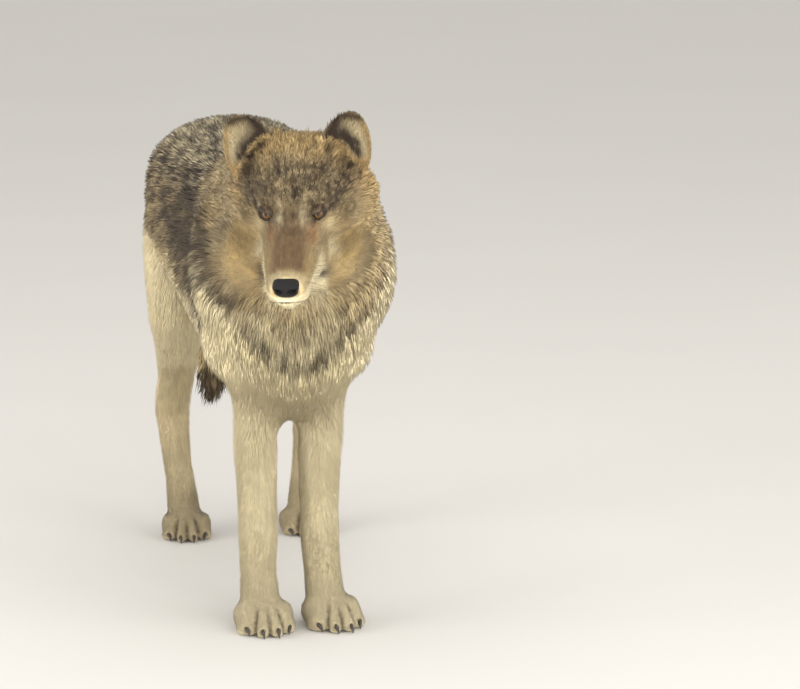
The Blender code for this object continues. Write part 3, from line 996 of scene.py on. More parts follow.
# The face's soft hills, and hollows where the height is below 0: height, middle and radii by the head's axes.
PAIRED_FOLDS = {
    "brow": (0.0026, (0.037, 0.006, 0.019), (0.020, 0.014, 0.009)),
    "cheekbone": (0.0020, (0.056, 0.010, -0.022), (0.012, 0.022, 0.010)),
    "corner of the eye": (-0.0034, (0.027, -0.026, -0.013), (0.009, 0.018, 0.014)),
    "upper lip": (0.0018, (0.024, -0.122, -0.045), (0.012, 0.022, 0.014)),
    "side of the muzzle": (-0.0014, (0.030, -0.080, -0.016), (0.006, 0.040, 0.010)),
}
MIDDLE_FOLDS = {
    "forehead's furrow": (-0.0026, (0.0, 0.000, 0.020), (0.008, 0.040, 0.030)),
    "over the nose": (0.0028, (0.0, -0.136, -0.031), (0.040, 0.013, 0.030)),
}
LIP_HALF_WIDTH = 0.0024


@dataclass
class Skin:
    """The one skin under the coat, shaped from the CAD's flesh nodes."""

    head: Head
    eyes: Eyes
    mouth: Mouth = field(default_factory=Mouth)
    overlap: float = 0.0004
    voxel: float = 0.0028
    roughness: float = 0.0004
    triangles: int = 140_000
    coat_share: float = 0.90
    thickest_share: float = 0.36
    eye_reaches: tuple[float, float] = (0.022, 0.0165)
    nose_reach: float = 0.036
    lip_reach: float = 0.009
    smoothing: int = 8
    seed: int = 5

    def united(self) -> bpy.types.Mesh:
        """The flesh nodes as one closed mesh, with their gaps closed."""
        mesh = merged_nodes("united", (*FLESH, *(f"eye_{side}" for side in SIDES)), self.overlap)
        body = new_piece("united", mesh)
        step = body.modifiers.new("unite", "REMESH")
        step.mode, step.voxel_size, step.adaptivity = "VOXEL", self.voxel, 0.0
        return baked_mesh(body)

    def thinned(self, mesh: bpy.types.Mesh) -> bpy.types.Mesh:
        """The mesh with fewer triangles, spread evenly, and finer ones on the head, ears and paws.

        The thinning keeps whatever is rough, so the mesh is first roughened where it has to stay fine, and
        what is left of it is laid back on the smooth shape afterwards.
        """
        smooth = Surface(mesh)
        tree = BVHTree.FromPolygons(smooth.points.tolist(), smooth.triangles.tolist())
        local = self.head.to_own(smooth.points)
        x, y, z = local.T
        front = ramp(y, 0.13, 0.05) * ramp(z, -0.12, -0.09)
        ears = ramp(z, 0.05, 0.07) * ramp(y, 0.20, 0.15)
        paws = ramp(smooth.points[:, 2], 0.12, 0.08)
        fine = np.maximum.reduce([front, ears, 0.75 * paws])
        rough = self.roughness * (0.5 + 0.8 * fine)
        shake = np.random.default_rng(self.seed).uniform(-1.0, 1.0, smooth.count)
        smooth.points = smooth.points + smooth.normals() * (shake * rough)[:, None]
        smooth.write_back()
        body = new_piece("thinned", mesh)
        step = body.modifiers.new("thin", "DECIMATE")
        step.ratio = self.triangles / (2.0 * len(mesh.polygons))
        step.use_collapse_triangulate = True
        thin = baked_mesh(body)
        surface = Surface(thin)
        surface.points = np.array([tree.find_nearest(p)[0] for p in surface.points.tolist()])
        surface.write_back()
        return thin

    def refined(self, mesh: bpy.types.Mesh) -> None:
        """Splits the faces round the eyes, nose and mouth, in place, and those round the eyes twice."""
        for eye_reach, first in zip(self.eye_reaches, (True, False)):
            surface = Surface(mesh)
            local = self.head.to_own(surface.points)
            near = (self.mouth.nearness(local, self.lip_reach) > 0.3) & first
            near |= (np.linalg.norm(local - Nose.middle, axis=1) < self.nose_reach) & first
            for opening in self.eyes.openings.values():
                near |= np.linalg.norm(local - opening.centre, axis=1) < eye_reach
            with editing(mesh) as builder:
                edges = [e for e in builder.edges if all(near[v.index] for v in e.verts)]
                bmesh.ops.subdivide_edges(builder, edges=edges, cuts=1, use_grid_fill=True)
                bmesh.ops.triangulate(builder, faces=[f for f in builder.faces if len(f.verts) > 3])

    def sculpt(self, surface: Surface) -> None:
        """Shapes the face on the skin: brows, stop, cheeks and lips, then lids over the eyeballs."""
        local = self.head.to_own(surface.points)
        normals = surface.normals() @ self.head.axes
        rise = np.zeros(surface.count)
        for side in (*SIDES.values(), 0.0):
            for height, (x, y, z), radii in (PAIRED_FOLDS if side else MIDDLE_FOLDS).values():
                rise += height * bump(local, (side * x, y, z), radii)
        rise -= 0.0045 * self.mouth.nearness(local, LIP_HALF_WIDTH)
        rise += 0.0016 * self.mouth.nearness(local - [0.0, 0.0, 0.0055], 0.004)
        local = local + normals * rise[:, None]
        local[:, 1] -= 0.0070 * bump(local, (0.0, -0.138, -0.031), (0.045, 0.016, 0.020))
        for opening in self.eyes.openings.values():
            local = self.lids(local, opening)
        surface.points = self.head.to_world(local)
        cut = Toes().grooves(surface.points) * Toes.depth
        surface.points = surface.points - surface.normals() * cut[:, None]

    @staticmethod
    def lids(local: Array, opening: EyeOpening) -> Array:
        """Draws the skin over one eyeball, and behind it within the opening.

        Args:
            local: The skin's places in the head's frame.
            opening: The almond between the lids.

        Returns:
            The moved places.
        """
        offsets = local - opening.centre
        away = np.linalg.norm(offsets, axis=1)
        level, facing = opening.level(offsets)
        near = away < opening.reach
        rise = (unit(offsets) @ opening.axes)[:, 1]
        fold = 0.0007 * np.exp(-(((level - 2.6) / 1.2) ** 2)) + 0.0010 * ramp(rise, 0.05, 0.35)
        over = opening.radius + opening.lid + fold
        sunk = opening.radius - opening.sunk
        target = sunk + (over - sunk) * ramp(level, 0.80, 1.02)
        hold = (1.0 - ramp(level, 2.2, 7.5)) * ramp(facing, -0.05, 0.25) * near
        reach = away + (target - away) * hold
        # Outside the opening, no skin dips into the eyeball.
        covers = near & (level < 12) & (level > 1)
        reach = np.where(covers, np.maximum(reach, opening.radius + 0.0009), reach)
        return opening.centre + offsets / np.maximum(away, 1e-6)[:, None] * reach[:, None]

    @staticmethod
    def fill_creases(surface: Surface, inset: Array) -> Array:
        """Lifts the skin out of its creases wherever the coat is deep, in place.

        Args:
            surface: The skin.
            inset: How far it lies inside the coat's tips.

        Returns:
            The new inset.
        """
        deep = ramp(surface.averaged(inset, 6), 0.006, 0.011)
        spread = surface.averaged(surface.points, 70, 0.8 * deep)
        ways = surface.normals()
        lift = np.maximum(((spread - surface.points) * ways).sum(1), 0.0)
        lift = np.minimum(surface.averaged(lift, 6), 0.7 * inset)
        surface.points += ways * lift[:, None]
        return inset - lift

    def unwrap(self, piece: bpy.types.Object) -> None:
        """Gives the skin its unwrapped map."""
        bpy.context.view_layer.objects.active = piece
        piece.select_set(True)
        piece.data.uv_layers.new(name=BAKE_MAP)
        bpy.ops.object.mode_set(mode="EDIT")
        bpy.ops.mesh.select_all(action="SELECT")
        bpy.ops.uv.smart_project(angle_limit=math.radians(66.0), island_margin=0.002)
        bpy.ops.object.mode_set(mode="OBJECT")

    def build(self) -> tuple[bpy.types.Object, Surface, Groom]:
        """Makes the skin.

        Returns:
            The skin's piece, its surface, and the lie of the coat on it.
        """
        mesh = self.thinned(self.united())
        self.refined(mesh)
        surface = Surface(mesh)
        local = self.head.to_own(surface.points)
        head = ramp(local[:, 1], 0.13, 0.10) * ramp(local[:, 2], -0.13, -0.10)
        surface.relax(self.smoothing, 0.55 - 0.3 * head)
        groom = Groom(self.head, surface)
        normals = surface.averaged(surface.normals(), 4)
        most = surface.thickness(unit(normals)) * self.thickest_share
        inset = np.minimum(groom.depth * self.coat_share, most)
        inset = np.minimum(inset, surface.averaged(inset, 12))
        surface.points -= unit(normals) * inset[:, None]
        surface.relax(self.smoothing, 0.55 - 0.35 * head)
        inset = self.fill_creases(surface, inset)
        self.sculpt(surface)
        surface.write_back()
        groom.store(surface, inset)
        Markings(self.head, self.mouth, self.eyes, surface).store(groom)
        piece = new_piece("skin", mesh)
        self.unwrap(piece)
        return piece, surface, groom


# The lie of the coat -------------------------------------------------------------------------------
class EarFrame:
    """One ear's own measures: how far up it a place is, how far across, and whether on its hollow side."""

    def __init__(self, side: float, at: Array, points: Array, normals: Array) -> None:
        """Fits the frame.

        Args:
            side: 1 for the left ear, -1 for the right.
            at: Which vertices are the ear's.
            points: Every vertex's place, in the head's frame.
            normals: Every vertex's outward direction, in the head's frame.
        """
        self.at = at
        own = points[at]
        middle = own.mean(0)
        hollow = np.linalg.svd(own - middle, full_matrices=False)[2][2]
        self.hollow = hollow if hollow[1] < 0 else -hollow
        order = np.argsort(own[:, 2])
        foot, tip = own[order[: len(order) // 8]].mean(0), own[order[-25:]].mean(0)
        axis = tip - foot
        axis -= self.hollow * (axis @ self.hollow)
        self.axis = axis / np.linalg.norm(axis)
        self.outwards = np.cross(self.axis, self.hollow)
        self.outwards *= side * np.sign(self.outwards[0])
        self.up = (own - foot) @ self.axis / ((tip - foot) @ self.axis)
        across = (own - foot) @ self.outwards
        level = np.clip((self.up * 10).astype(int), 0, 9)
        bands = [across[level == k] if (level == k).any() else np.zeros(1) for k in range(10)]
        ends = ([end(band) for band in bands] for end in (np.min, np.max))
        low, high = (np.interp(self.up * 10 - 0.5, range(10), row) for row in ends)
        self.across = (2.0 * across - low - high) / np.maximum(high - low, 0.01)
        self.inner = ramp(normals[at] @ self.hollow, 0.0, 0.35) * ramp(self.up, -0.02, 0.08)
        self.rim = np.maximum(ramp(np.abs(self.across), 0.78, 0.95), ramp(self.up, 0.88, 0.97))


class Groom:
    """The coat's depth, length and lie at each of the skin's vertices."""

    def __init__(self, head: Head, outer: Surface) -> None:
        """Reads each vertex's part from the CAD node beneath it, and blends the parts' hair.

        Args:
            head: The head's axes.
            outer: The surface, while it still lies at the coat's tips.
        """
        self.head = head
        self.points = outer.points.copy()
        self.local = head.to_own(self.points)
        self.normals = outer.averaged(outer.normals(), 3)
        self.nodes = self.nearest_nodes()
        self.parts = np.array([part_of(name) for name in FLESH])[self.nodes]
        index = {part: place for place, part in enumerate(PART_HAIR)}
        rows = np.array([[h.depth, h.length, h.half_width, h.per_square_metre] for h in PART_HAIR.values()])
        table = rows[[index[part] for part in self.parts]]
        self.shape_head(table)
        near_neck = outer.averaged((self.parts == "neck").astype(float), 60, 0.9)
        on_head = np.isin(self.parts, ("head", "lower_jaw")) * ramp(self.local[:, 1], -0.06, 0.02)
        join = (ramp(near_neck, 0.0, 0.55) * on_head)[:, None]
        table += (rows[index["neck"]] - table) * join * 0.9
        table = outer.averaged(table, 36, 0.6)
        self.ears = [
            EarFrame(side, self.nodes == FLESH.index(f"ear_{name}"), self.local, self.normals @ head.axes)
            for name, side in SIDES.items()
        ]
        for ear in self.ears:
            table[ear.at] = rows[index["ear"]]
            table[ear.at, 1] += 0.009 * ear.inner * (1.0 - ear.rim)
        self.depth, self.length, self.half_width, self.per_area = table.T
        self.flow = self.find_flow(outer)

    def nearest_nodes(self) -> Array:
        """The place in FLESH of the CAD node nearest to each point."""
        points, faces, owners = [], [], []
        for place, name in enumerate(FLESH):
            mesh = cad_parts[name].data
            mesh.calc_loop_triangles()
            start = len(points)
            points += numbers(mesh.vertices, "co", 3).tolist()
            faces += (numbers(mesh.loop_triangles, "vertices", 3, np.int32) + start).tolist()
            owners += [place] * len(mesh.loop_triangles)
        tree = BVHTree.FromPolygons(points, faces)
        found = [tree.find_nearest(p)[2] for p in self.points.tolist()]
        return np.array(owners)[np.array(found)]

    def shape_head(self, table: Array) -> None:
        """Makes the face's hair short and the cheeks' and crown's long, in place."""
        at = np.flatnonzero((self.parts == "head") | (self.parts == "lower_jaw"))
        x, y, z = self.local[at].T
        back = ramp(y, -0.05, 0.05)
        aside = ramp(np.abs(x), 0.085, 0.12) * ramp(y, -0.03, 0.03)
        ruff = np.maximum(ramp(y, 0.03, 0.10) * ramp(z, 0.01, -0.05), aside)
        crown = ramp(y, 0.05, 0.12) * ramp(z, -0.01, 0.03)
        for column, (face, behind, cheeks, top) in enumerate(HEAD_HAIR):
            table[at, column] = face + behind * back + cheeks * ruff + top * crown
        self.crown = np.zeros(len(table))
        self.crown[at] = ramp(y, 0.055, 0.10) * ramp(z, 0.01, 0.04) * ramp(np.abs(x), 0.075, 0.045)

    def find_flow(self, outer: Surface) -> Array:
        """The direction in which the hair lies at each vertex, along the surface."""
        lies = np.array([PART_HAIR[p].lie.value for p in self.parts])
        x, y, z = self.points.T
        low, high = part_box("trunk")
        height = (z - low.z) / (high.z - low.z)
        down = ramp(height, 0.75, 0.15)
        chest = ramp(y, -0.24, -0.34)
        side = np.sign(x)
        back, fall = 1.0 - 0.55 * down - 0.5 * chest, -0.12 - 0.55 * down - 0.8 * chest
        flow = np.stack([side * 0.05, back, fall], 1)
        throat = ramp(y, -0.28, -0.42)
        neck = np.stack([side * 0.12, 0.80 - 0.75 * throat, -0.45 - 0.6 * throat], 1)
        flow[lies == "neck"] = neck[lies == "neck"]
        flow[lies == "down"] = (0.0, 0.22, -1.0)
        flow[lies == "paw"] = (0.0, -0.85, -0.55)
        flow[lies == "tail"] = (-0.04, 0.05, -1.0)
        radial = unit(self.local - [0.0, -0.215, -0.035])
        radial[:, 2] -= 0.55 * ramp(self.local[:, 1], 0.0, 0.10) * ramp(self.local[:, 2], 0.02, -0.04)
        on_head = lies == "head"
        flow[on_head] = self.head.turn(radial)[on_head]
        flow = outer.averaged(unit(flow), 110, 0.8)
        for ear in self.ears:
            spread = ear.outwards * (0.25 * ear.across + 0.45 * ear.inner * (1.0 - ear.rim))[:, None]
            flow[ear.at] = self.head.turn(ear.axis + spread)
        flow -= self.normals * (flow * self.normals).sum(1, keepdims=True)
        return unit(outer.averaged(unit(flow), 3))

    @staticmethod
    def tamed(surface: Surface, up: Array, flow: Array, length: Array, rise: Array) -> Array:
        """The lengths, shortened where a tuft's tip would stand off the body or run into it.

        Args:
            surface: The skin.
            up: Its outward direction.
            flow: The way its hair lies.
            length: How long its tufts are.
            rise: How high their tips lie.

        Returns:
            The new lengths.
        """
        tree = BVHTree.FromPolygons(surface.points.tolist(), surface.triangles.tolist())
        for _ in range(4):
            tips = surface.points + flow * length[:, None] + up * rise[:, None]
            ends = [Vector(tip) for tip in tips.tolist()]
            found = [tree.find_nearest(end)[:2] for end in ends]
            gaps = np.array([(end - spot).dot(way) for end, (spot, way) in zip(ends, found)])
            wrong = np.maximum(ramp(gaps - rise, 0.008, 0.020), ramp(-gaps, 0.002, 0.012))
            length = length * (1.0 - 0.35 * wrong)
        return surface.averaged(length, 6)

    def store(self, surface: Surface, inset: Array) -> None:
        """Writes what the tufts read onto the skin's mesh.

        Args:
            surface: The finished skin.
            inset: How far it lies inside the coat's tips.
        """
        rise = inset + 0.0005 + 0.008 * self.crown
        for ear in self.ears:
            rise[ear.at] += 0.0022 * ear.inner * (1.0 - ear.rim)
        length = np.minimum(self.length + 0.010 * self.crown, rise * 3.2 + 0.0055)
        up = unit(surface.averaged(surface.normals(), 2))
        flow = unit(self.flow - up * (self.flow * up).sum(1, keepdims=True))
        length = self.tamed(surface, up, flow, length, rise)
        surface.store("hair", np.stack([self.half_width, length, rise], 1))
        surface.store("up", up)
        surface.store("flow", unit(flow))
        surface.store("deep", limited(length / 0.05))


# Markings ------------------------------------------------------------------------------------------
# The face's patches of colour: middle and radii, by the head's axes, with the right side's mirrored.
FACE_PATCHES = {
    "strip": ((0.061, -0.012, -0.064), (0.011, 0.019, 0.014)),
    "under_eye": ((0.060, 0.000, -0.024), (0.013, 0.014, 0.012)),
    "inner_stripe": ((0.0195, -0.014, 0.014), (0.0050, 0.022, 0.014)),
    "over_lid": ((0.046, 0.000, 0.0165), (0.016, 0.008, 0.0035)),
    "tear": ((0.036, -0.036, -0.012), (0.008, 0.022, 0.012)),
    "cheek": ((0.096, 0.000, -0.068), (0.034, 0.055, 0.036)),
    "base": ((0.105, 0.080, 0.005), (0.020, 0.030, 0.025)),
    "mask": ((0.068, 0.014, 0.004), (0.014, 0.012, 0.0045)),
    "inner_line": ((0.0305, -0.016, -0.008), (0.003, 0.008, 0.006)),
    "whisker_bed": ((0.036, -0.072, -0.028), (0.008, 0.034, 0.011)),
    "spot": ((0.007, 0.007, 0.037), (0.006, 0.010, 0.012)),
    "corner": ((0.049, -0.058, -0.080), (0.012, 0.026, 0.010)),
    "temple": ((0.096, 0.040, -0.012), (0.036, 0.040, 0.026)),
    "beside": ((0.082, 0.020, -0.020), (0.020, 0.024, 0.016)),
    "between": ((0.0, -0.020, 0.016), (0.020, 0.022, 0.016)),
    # The hollow below each eye, beside the muzzle, takes painted shade.
    "hollow": ((0.054, -0.022, -0.034), (0.014, 0.016, 0.020)),
    "ear_foot": ((0.078, 0.096, 0.026), (0.022, 0.020, 0.016)),
    "ear_foot_front": ((0.057, 0.110, 0.047), (0.014, 0.016, 0.014)),
}


class Markings:
    """The coat's colours, as how much tan, rust, cream, sable and dark-tipped hair each vertex has."""

    showing = 0.6
    drawn_out = 0.78

    def __init__(self, head: Head, mouth: Mouth, eyes: Eyes, surface: Surface) -> None:
        """Keeps the landmarks, and the places where each vertex's tufts show most: near their tips."""
        self.head, self.mouth, self.eyes, self.surface = head, mouth, eyes, surface
        _, length, rise = numbers(surface.mesh.attributes["hair"].data, "vector", 3).T
        flow, up = (numbers(surface.mesh.attributes[name].data, "vector", 3) for name in ("flow", "up"))
        self.points = surface.points + (flow * length[:, None] + up * rise[:, None]) * self.showing
        self.local = head.to_own(self.points)
        self.folded = self.local.copy()
        self.folded[:, 0] = np.abs(self.local[:, 0])

    def mottle(self, cells: float, seed: float, way: Sequence[float] | None = None) -> Array:
        """Smooth noise over the skin.

        Args:
            cells: How many cells of it there are to a metre.
            seed: Where in the noise it starts.
            way: A direction to draw it out along, as hair is.

        Returns:
            A number from 0 to 1 for each vertex.
        """
        points = self.points
        if way:
            along = np.array(way) / np.linalg.norm(way)
            points = points - self.drawn_out * (points @ along)[:, None] * along
        place = Vector((seed, 2.0 * seed, -seed))
        return np.array([0.5 + 0.5 * noise.noise(Vector(p) * cells + place) for p in points.tolist()])

    def streak(self, start: Sequence[float], end: Sequence[float], half: float) -> Array:
        """1 along a line on the flanks between two (y, z) places, sinking to a third at its half width."""
        a, b = np.array(start), np.array(end)
        flat = self.points[:, 1:] + 0.02 * (self.wander - 0.5)[:, None]
        t = np.clip((flat - a) @ (b - a) / ((b - a) @ (b - a)), 0.0, 1.0)
        away = np.linalg.norm(flat - a - t[:, None] * (b - a), axis=1)
        return np.exp(-((away / half) ** 2))

    def behind(self) -> Array:
        """The shaded fur at the back of the right cheek and neck, which carries the saddle's dark forward."""
        z = self.points[:, 2]
        return ramp(self.local[:, 0], -0.150, -0.174) * ramp(z, 0.56, 0.60) * ramp(z, 0.75, 0.70)

    def body(self, groom: Groom) -> dict[str, Array]:
        """The markings of trunk, neck, legs and tail, with painted shade on the right of the neck and painted
        light on the left of its front.
        """
        x, y, z = self.points.T
        self.wander = self.mottle(14.0, 3.1)
        fine = self.mottle(75.0, 7.7, (0.0, 0.9, -0.42))
        wisps = ramp(self.mottle(110.0, 5.3, (0.0, 0.3, -1.0)), 0.40, 0.62)
        rows = ramp(fine, 0.40, 0.58)
        tail = (groom.parts == "tail").astype(float)
        leg = ramp(z, 0.43, 0.34) * (1.0 - tail)
        top = ramp(z, 0.68, 0.76)
        ahead = ramp(y, -0.24, -0.32)
        # The ruff ends in a ring of dark wisps round the base of the neck, lowest in the middle.
        ring = 0.455 + 7.5 * np.minimum(np.abs(x - 0.012), 0.16) ** 2 + 0.03 * (self.wander - 0.5)
        bib = ramp(z, ring + 0.010, ring - 0.030) * ahead
        collar = np.exp(-(((z - ring - 0.016) / 0.018) ** 2)) * ahead * (0.35 + 0.75 * wisps)
        second = np.exp(-(((z - ring - 0.070) / 0.026) ** 2)) * ahead * wisps
        saddle = bump(self.points[:, 1:], (-0.105, 0.645), (0.155, 0.120))
        saddle = np.maximum(saddle, 0.9 * self.streak((-0.10, 0.60), (-0.24, 0.525), 0.034))
        saddle = ramp(saddle + 1.0 * (fine - 0.5), 0.15, 0.80)
        # A dark streak down the fold between neck and shoulder: faint on the left as a marking, and deepened
        # on the right as painted shade.
        fold = ramp(self.streak((-0.310, 0.670), (-0.385, 0.575), 0.026) + 0.6 * (fine - 0.5), 0.15, 0.65)
        fold *= 0.12 + 0.88 * ramp(x, 0.03, -0.03)
        pale = np.exp(-(((y + 0.240 + 0.25 * (z - 0.66)) / 0.038) ** 2))
        pale = pale * ramp(z, 0.55, 0.60) * (1.0 - 0.6 * top)
        edge = z + 0.07 * (self.wander - 0.5) + 0.05 * (fine - 0.5)
        under = ramp(edge, 0.60, 0.48) * ramp(z, 0.30, 0.38) * (1.0 - tail)
        gold = ramp(y, 0.08, 0.20) * ramp(z, 0.68, 0.56) * (1.0 - 0.7 * leg)
        back = top * ramp(y, -0.20, -0.12) * (1.0 - tail)
        hock = bump(self.points * [0.0, 1.0, 1.0], (0.0, 0.440, 0.205), (1.0, 0.022, 0.040)) * leg
        tail_tip = tail * ramp(z + 0.05 * (fine - 0.5), 0.31, 0.265)
        outer_leg = leg * ramp(np.abs(x), 0.085, 0.125) * ramp(z, 0.20, 0.34) * ramp(y, 0.2, 0.1)
        behind = self.behind() * (0.35 + 0.6 * rows)
        dark = (0.92 * saddle, behind, 0.85 * fold, 0.78 * collar, 0.50 * second, 0.85 * tail_tip)
        dark = np.maximum.reduce(dark)
        paw = ramp(z, 0.10, 0.06)
        hind = ramp(y, 0.1, 0.2)
        smoke = leg * (0.18 + 0.22 * self.wander + 0.26 * paw) * (1.0 - 0.8 * hind * ramp(z, 0.13, 0.22))
        smoke += 0.04 * leg * hind * ramp(z, 0.20, 0.12)
        # Painted shade on the right of the neck's front: less tan and more sable, streaked like the hair.
        painted_shade = ahead * ramp(z, 0.55, 0.60) * ramp(x, -0.07, -0.11)
        # Painted light on the left of the neck's front: more cream and less grizzle.
        painted_light = ahead * ramp(x, 0.04, 0.10)
        return {
            "tan": limited(
                0.45 + 0.30 * leg + 0.50 * ahead + 0.5 * gold + 0.35 * outer_leg - 0.3 * back - 0.1 * bib
                - 0.40 * painted_shade
            ),
            "rust": limited(0.26 * gold + 0.55 * hock + 0.15 * tail),
            "cream": limited(
                0.50 * leg - 0.30 * outer_leg + 0.90 * bib + 0.95 * under + 0.25 * pale
                + 0.5 * back * (1.0 - rows) + 0.30 * gold + 0.16 * ahead * (1.0 - bib) + 0.10 * painted_light
                - 0.06 * painted_shade + 0.12, 0.92,
            ),
            "sable": limited(
                dark + 0.55 * back * rows + 0.12 * back + 0.20 * rows * ahead * (1.0 - bib)
                + 0.25 * rows * pale + painted_shade * (0.10 + 0.32 * rows)
            ) * (1.0 - leg) + smoke,
            "grizzle": limited(
                0.45 + 0.55 * back + 0.3 * tail - 0.40 * leg - 0.45 * bib - 0.45 * under - 0.3 * gold
                - 0.15 * pale - 0.12 * ahead + 0.2 * painted_shade - 0.2 * painted_light
            ),
        }

    def face(self) -> dict[str, Array]:
        """The markings of the head, without the ears, with painted shade in the hollows below the eyes and on
        the right cheek.
        """
        own, x = self.folded, self.folded[:, 0]
        y, z = self.local[:, 1], self.local[:, 2]
        at = SimpleNamespace(**{name: bump(own, *patch) for name, patch in FACE_PATCHES.items()})
        at.spot = bump(self.local, *FACE_PATCHES["spot"])
        fine, broad = self.mottle(75.0, 1.3), self.mottle(42.0, 9.2)
        streaks, specks = self.mottle(60.0, 4.4), self.mottle(170.0, 6.1)
        flecks = 0.75 + 0.5 * (streaks - 0.5) + 1.3 * (specks - 0.5)
        muzzle = ramp(y, -0.030, -0.060)
        bridge = ramp(y, 0.005, -0.045) * ramp(y, -0.128, -0.108) * ramp(x, 0.036, 0.020)
        bridge *= ramp(z, -0.036, -0.022)
        over_nose = ramp(y, -0.108, -0.126) * ramp(z, -0.040, -0.030) * (0.7 + 0.5 * (specks - 0.5))
        lips = ramp(y, -0.030, -0.060) * ramp(z, -0.034, -0.046) * ramp(x, 0.058, 0.046)
        crown = ramp(y, 0.055, 0.105) * ramp(z, 0.0, 0.03)
        forehead = ramp(y, -0.025, 0.010) * ramp(z, -0.016, 0.006) * (1.0 - crown) * ramp(x, 0.118, 0.080)
        ruff = ramp(y, 0.04, 0.10) * ramp(z, 0.02, -0.03)
        # Painted shade: the back of the right cheek is darkened, more grizzled and less tan.
        outer = ramp(self.local[:, 0], -0.095, -0.125) * ramp(y, 0.01, 0.07)
        at.ear_foot = np.maximum(at.ear_foot, at.ear_foot_front)
        lip_line = self.mouth.nearness(self.local, LIP_HALF_WIDTH)
        rims = np.zeros(len(x))
        for opening in self.eyes.openings.values():
            rims = np.maximum(rims, opening.darkness(self.local))
        jaw = ramp(-self.mouth.above(self.local), 0.0, 0.003) * ramp(y, -0.03, -0.06) * ramp(x, 0.058, 0.046)
        return {
            "tan": limited(
                0.36 + 0.6 * crown + 0.5 * ruff + 0.45 * at.cheek + 0.5 * (broad - 0.5) - 0.4 * outer
            ),
            "rust": limited(
                0.55 * bridge * (0.4 + 0.8 * fine) + 0.9 * at.tear + 0.10 * crown + 0.3 * at.base
                + 0.4 * at.over_lid
            ),
            "cream": limited(
                0.80 * lips + 0.45 * over_nose + 0.95 * at.strip + 0.5 * at.under_eye + 0.95 * at.inner_stripe
                + 0.8 * jaw, 0.95,
            ),
            "sable": limited(
                0.60 * at.mask + 0.75 * at.spot + 0.5 * at.inner_line + 0.9 * lip_line + rims
                + 0.25 * at.whisker_bed + 0.95 * at.corner
                + 0.82 * forehead * (1.0 - 0.7 * at.inner_stripe) * flecks
                + 0.64 * bridge * (0.4 + 0.5 * broad + 0.5 * specks) + 0.44 * at.temple * flecks
                + (0.50 * at.beside + 0.55 * at.between) * flecks * (1.0 - 0.8 * at.inner_stripe)
                # The hollow's sable is painted shade.
                + 0.30 * at.hollow + 0.60 * at.ear_foot + 0.25 * at.tear + 0.14 * at.cheek + 0.2 * at.over_lid
                + outer * (0.14 + 0.6 * (specks - 0.4)) + 0.55 * self.behind() + 0.10 * ramp(y, -0.05, 0.03)
                + crown * (0.05 + 0.45 * ramp(streaks, 0.52, 0.66))
            ),
            "grizzle": limited(
                0.55 + 0.35 * forehead + 0.2 * outer - 0.45 * muzzle - 0.3 * at.cheek - 0.5 * at.under_eye
            ),
        }

    def ears(self, groom: Groom) -> dict[str, Array]:
        """The markings of the ears: rusty backs and outer edges, dark rims, pale grey hair inside, and
        painted shade in the hollow.
        """
        values = {name: np.zeros(len(self.points)) for name in ("tan", "rust", "cream", "sable", "grizzle")}
        dapple = self.mottle(110.0, 2.2)
        for ear, shadow in zip(groom.ears, (1.0, 0.4)):
            place = np.stack([ear.across, ear.up], 1)
            lateral = ramp(ear.across, 0.45, 0.80) * ramp(ear.up, 0.90, 0.65)
            inner = ear.inner * (1.0 - 0.8 * lateral)
            outline = bump(place * [1.0, 0.0], (-0.60, 0.0), (0.36, 1.0)) * ramp(ear.up, 0.02, 0.15)
            outline = np.maximum(outline, 0.8 * bump(place * [0.0, 1.0], (0.0, 0.92), (1.0, 0.13)))
            outline = np.maximum(outline, bump(place, (-0.38, 0.10), (0.36, 0.13)))
            # Painted shade in the ear's hollow: full in the left ear, weaker in the right.
            cavity_shade = shadow * bump(place, (-0.08, 0.42), (0.22, 0.22))
            values["tan"][ear.at] = 0.9 - 0.55 * inner
            values["rust"][ear.at] = limited(0.26 - 0.4 * inner + 0.12 * lateral)
            values["cream"][ear.at] = 0.50 * inner * ramp(ear.up, 0.95, 0.65)
            behind = (0.12 + 0.7 * (dapple[ear.at] - 0.4)) * (1.0 - ear.inner)
            values["sable"][ear.at] = limited((0.95 * outline + 0.95 * cavity_shade + 0.20) * ear.inner + behind)
            values["grizzle"][ear.at] = 0.45 - 0.33 * inner
        return values

    def store(self, groom: Groom) -> None:
        """Blends the three sets of markings and writes them onto the skin's mesh."""
        on_head = np.isin(groom.parts, ("head", "lower_jaw", "ear")).astype(float)
        on_ear = (groom.parts == "ear").astype(float)
        on_head = self.surface.averaged(on_head, 16, 0.7)
        on_ear = self.surface.averaged(on_ear, 1)
        sets = self.body(groom), self.face(), self.ears(groom)
        for name in sets[0]:
            body, face, ear = (s[name] for s in sets)
            mixed = body + (face - body) * on_head
            self.surface.store(name, mixed + (ear - mixed) * on_ear)
        # The grooves between the toes are darkened: painted shade in the creases.
        toes = Toes().grooves(self.surface.points)
        sable = self.surface.mesh.attributes["sable"].data
        held = numbers(sable, "value", 1)[:, 0]
        self.surface.store("sable", np.maximum(held, 0.95 * toes**0.6))
        # The skin gets a low tone and a place near the roots, so the finish darkens it as painted shade under
        # the tufts.
        self.surface.store("tone", np.full(self.surface.count, 0.35))
        self.surface.store("along", np.full(self.surface.count, 0.12))


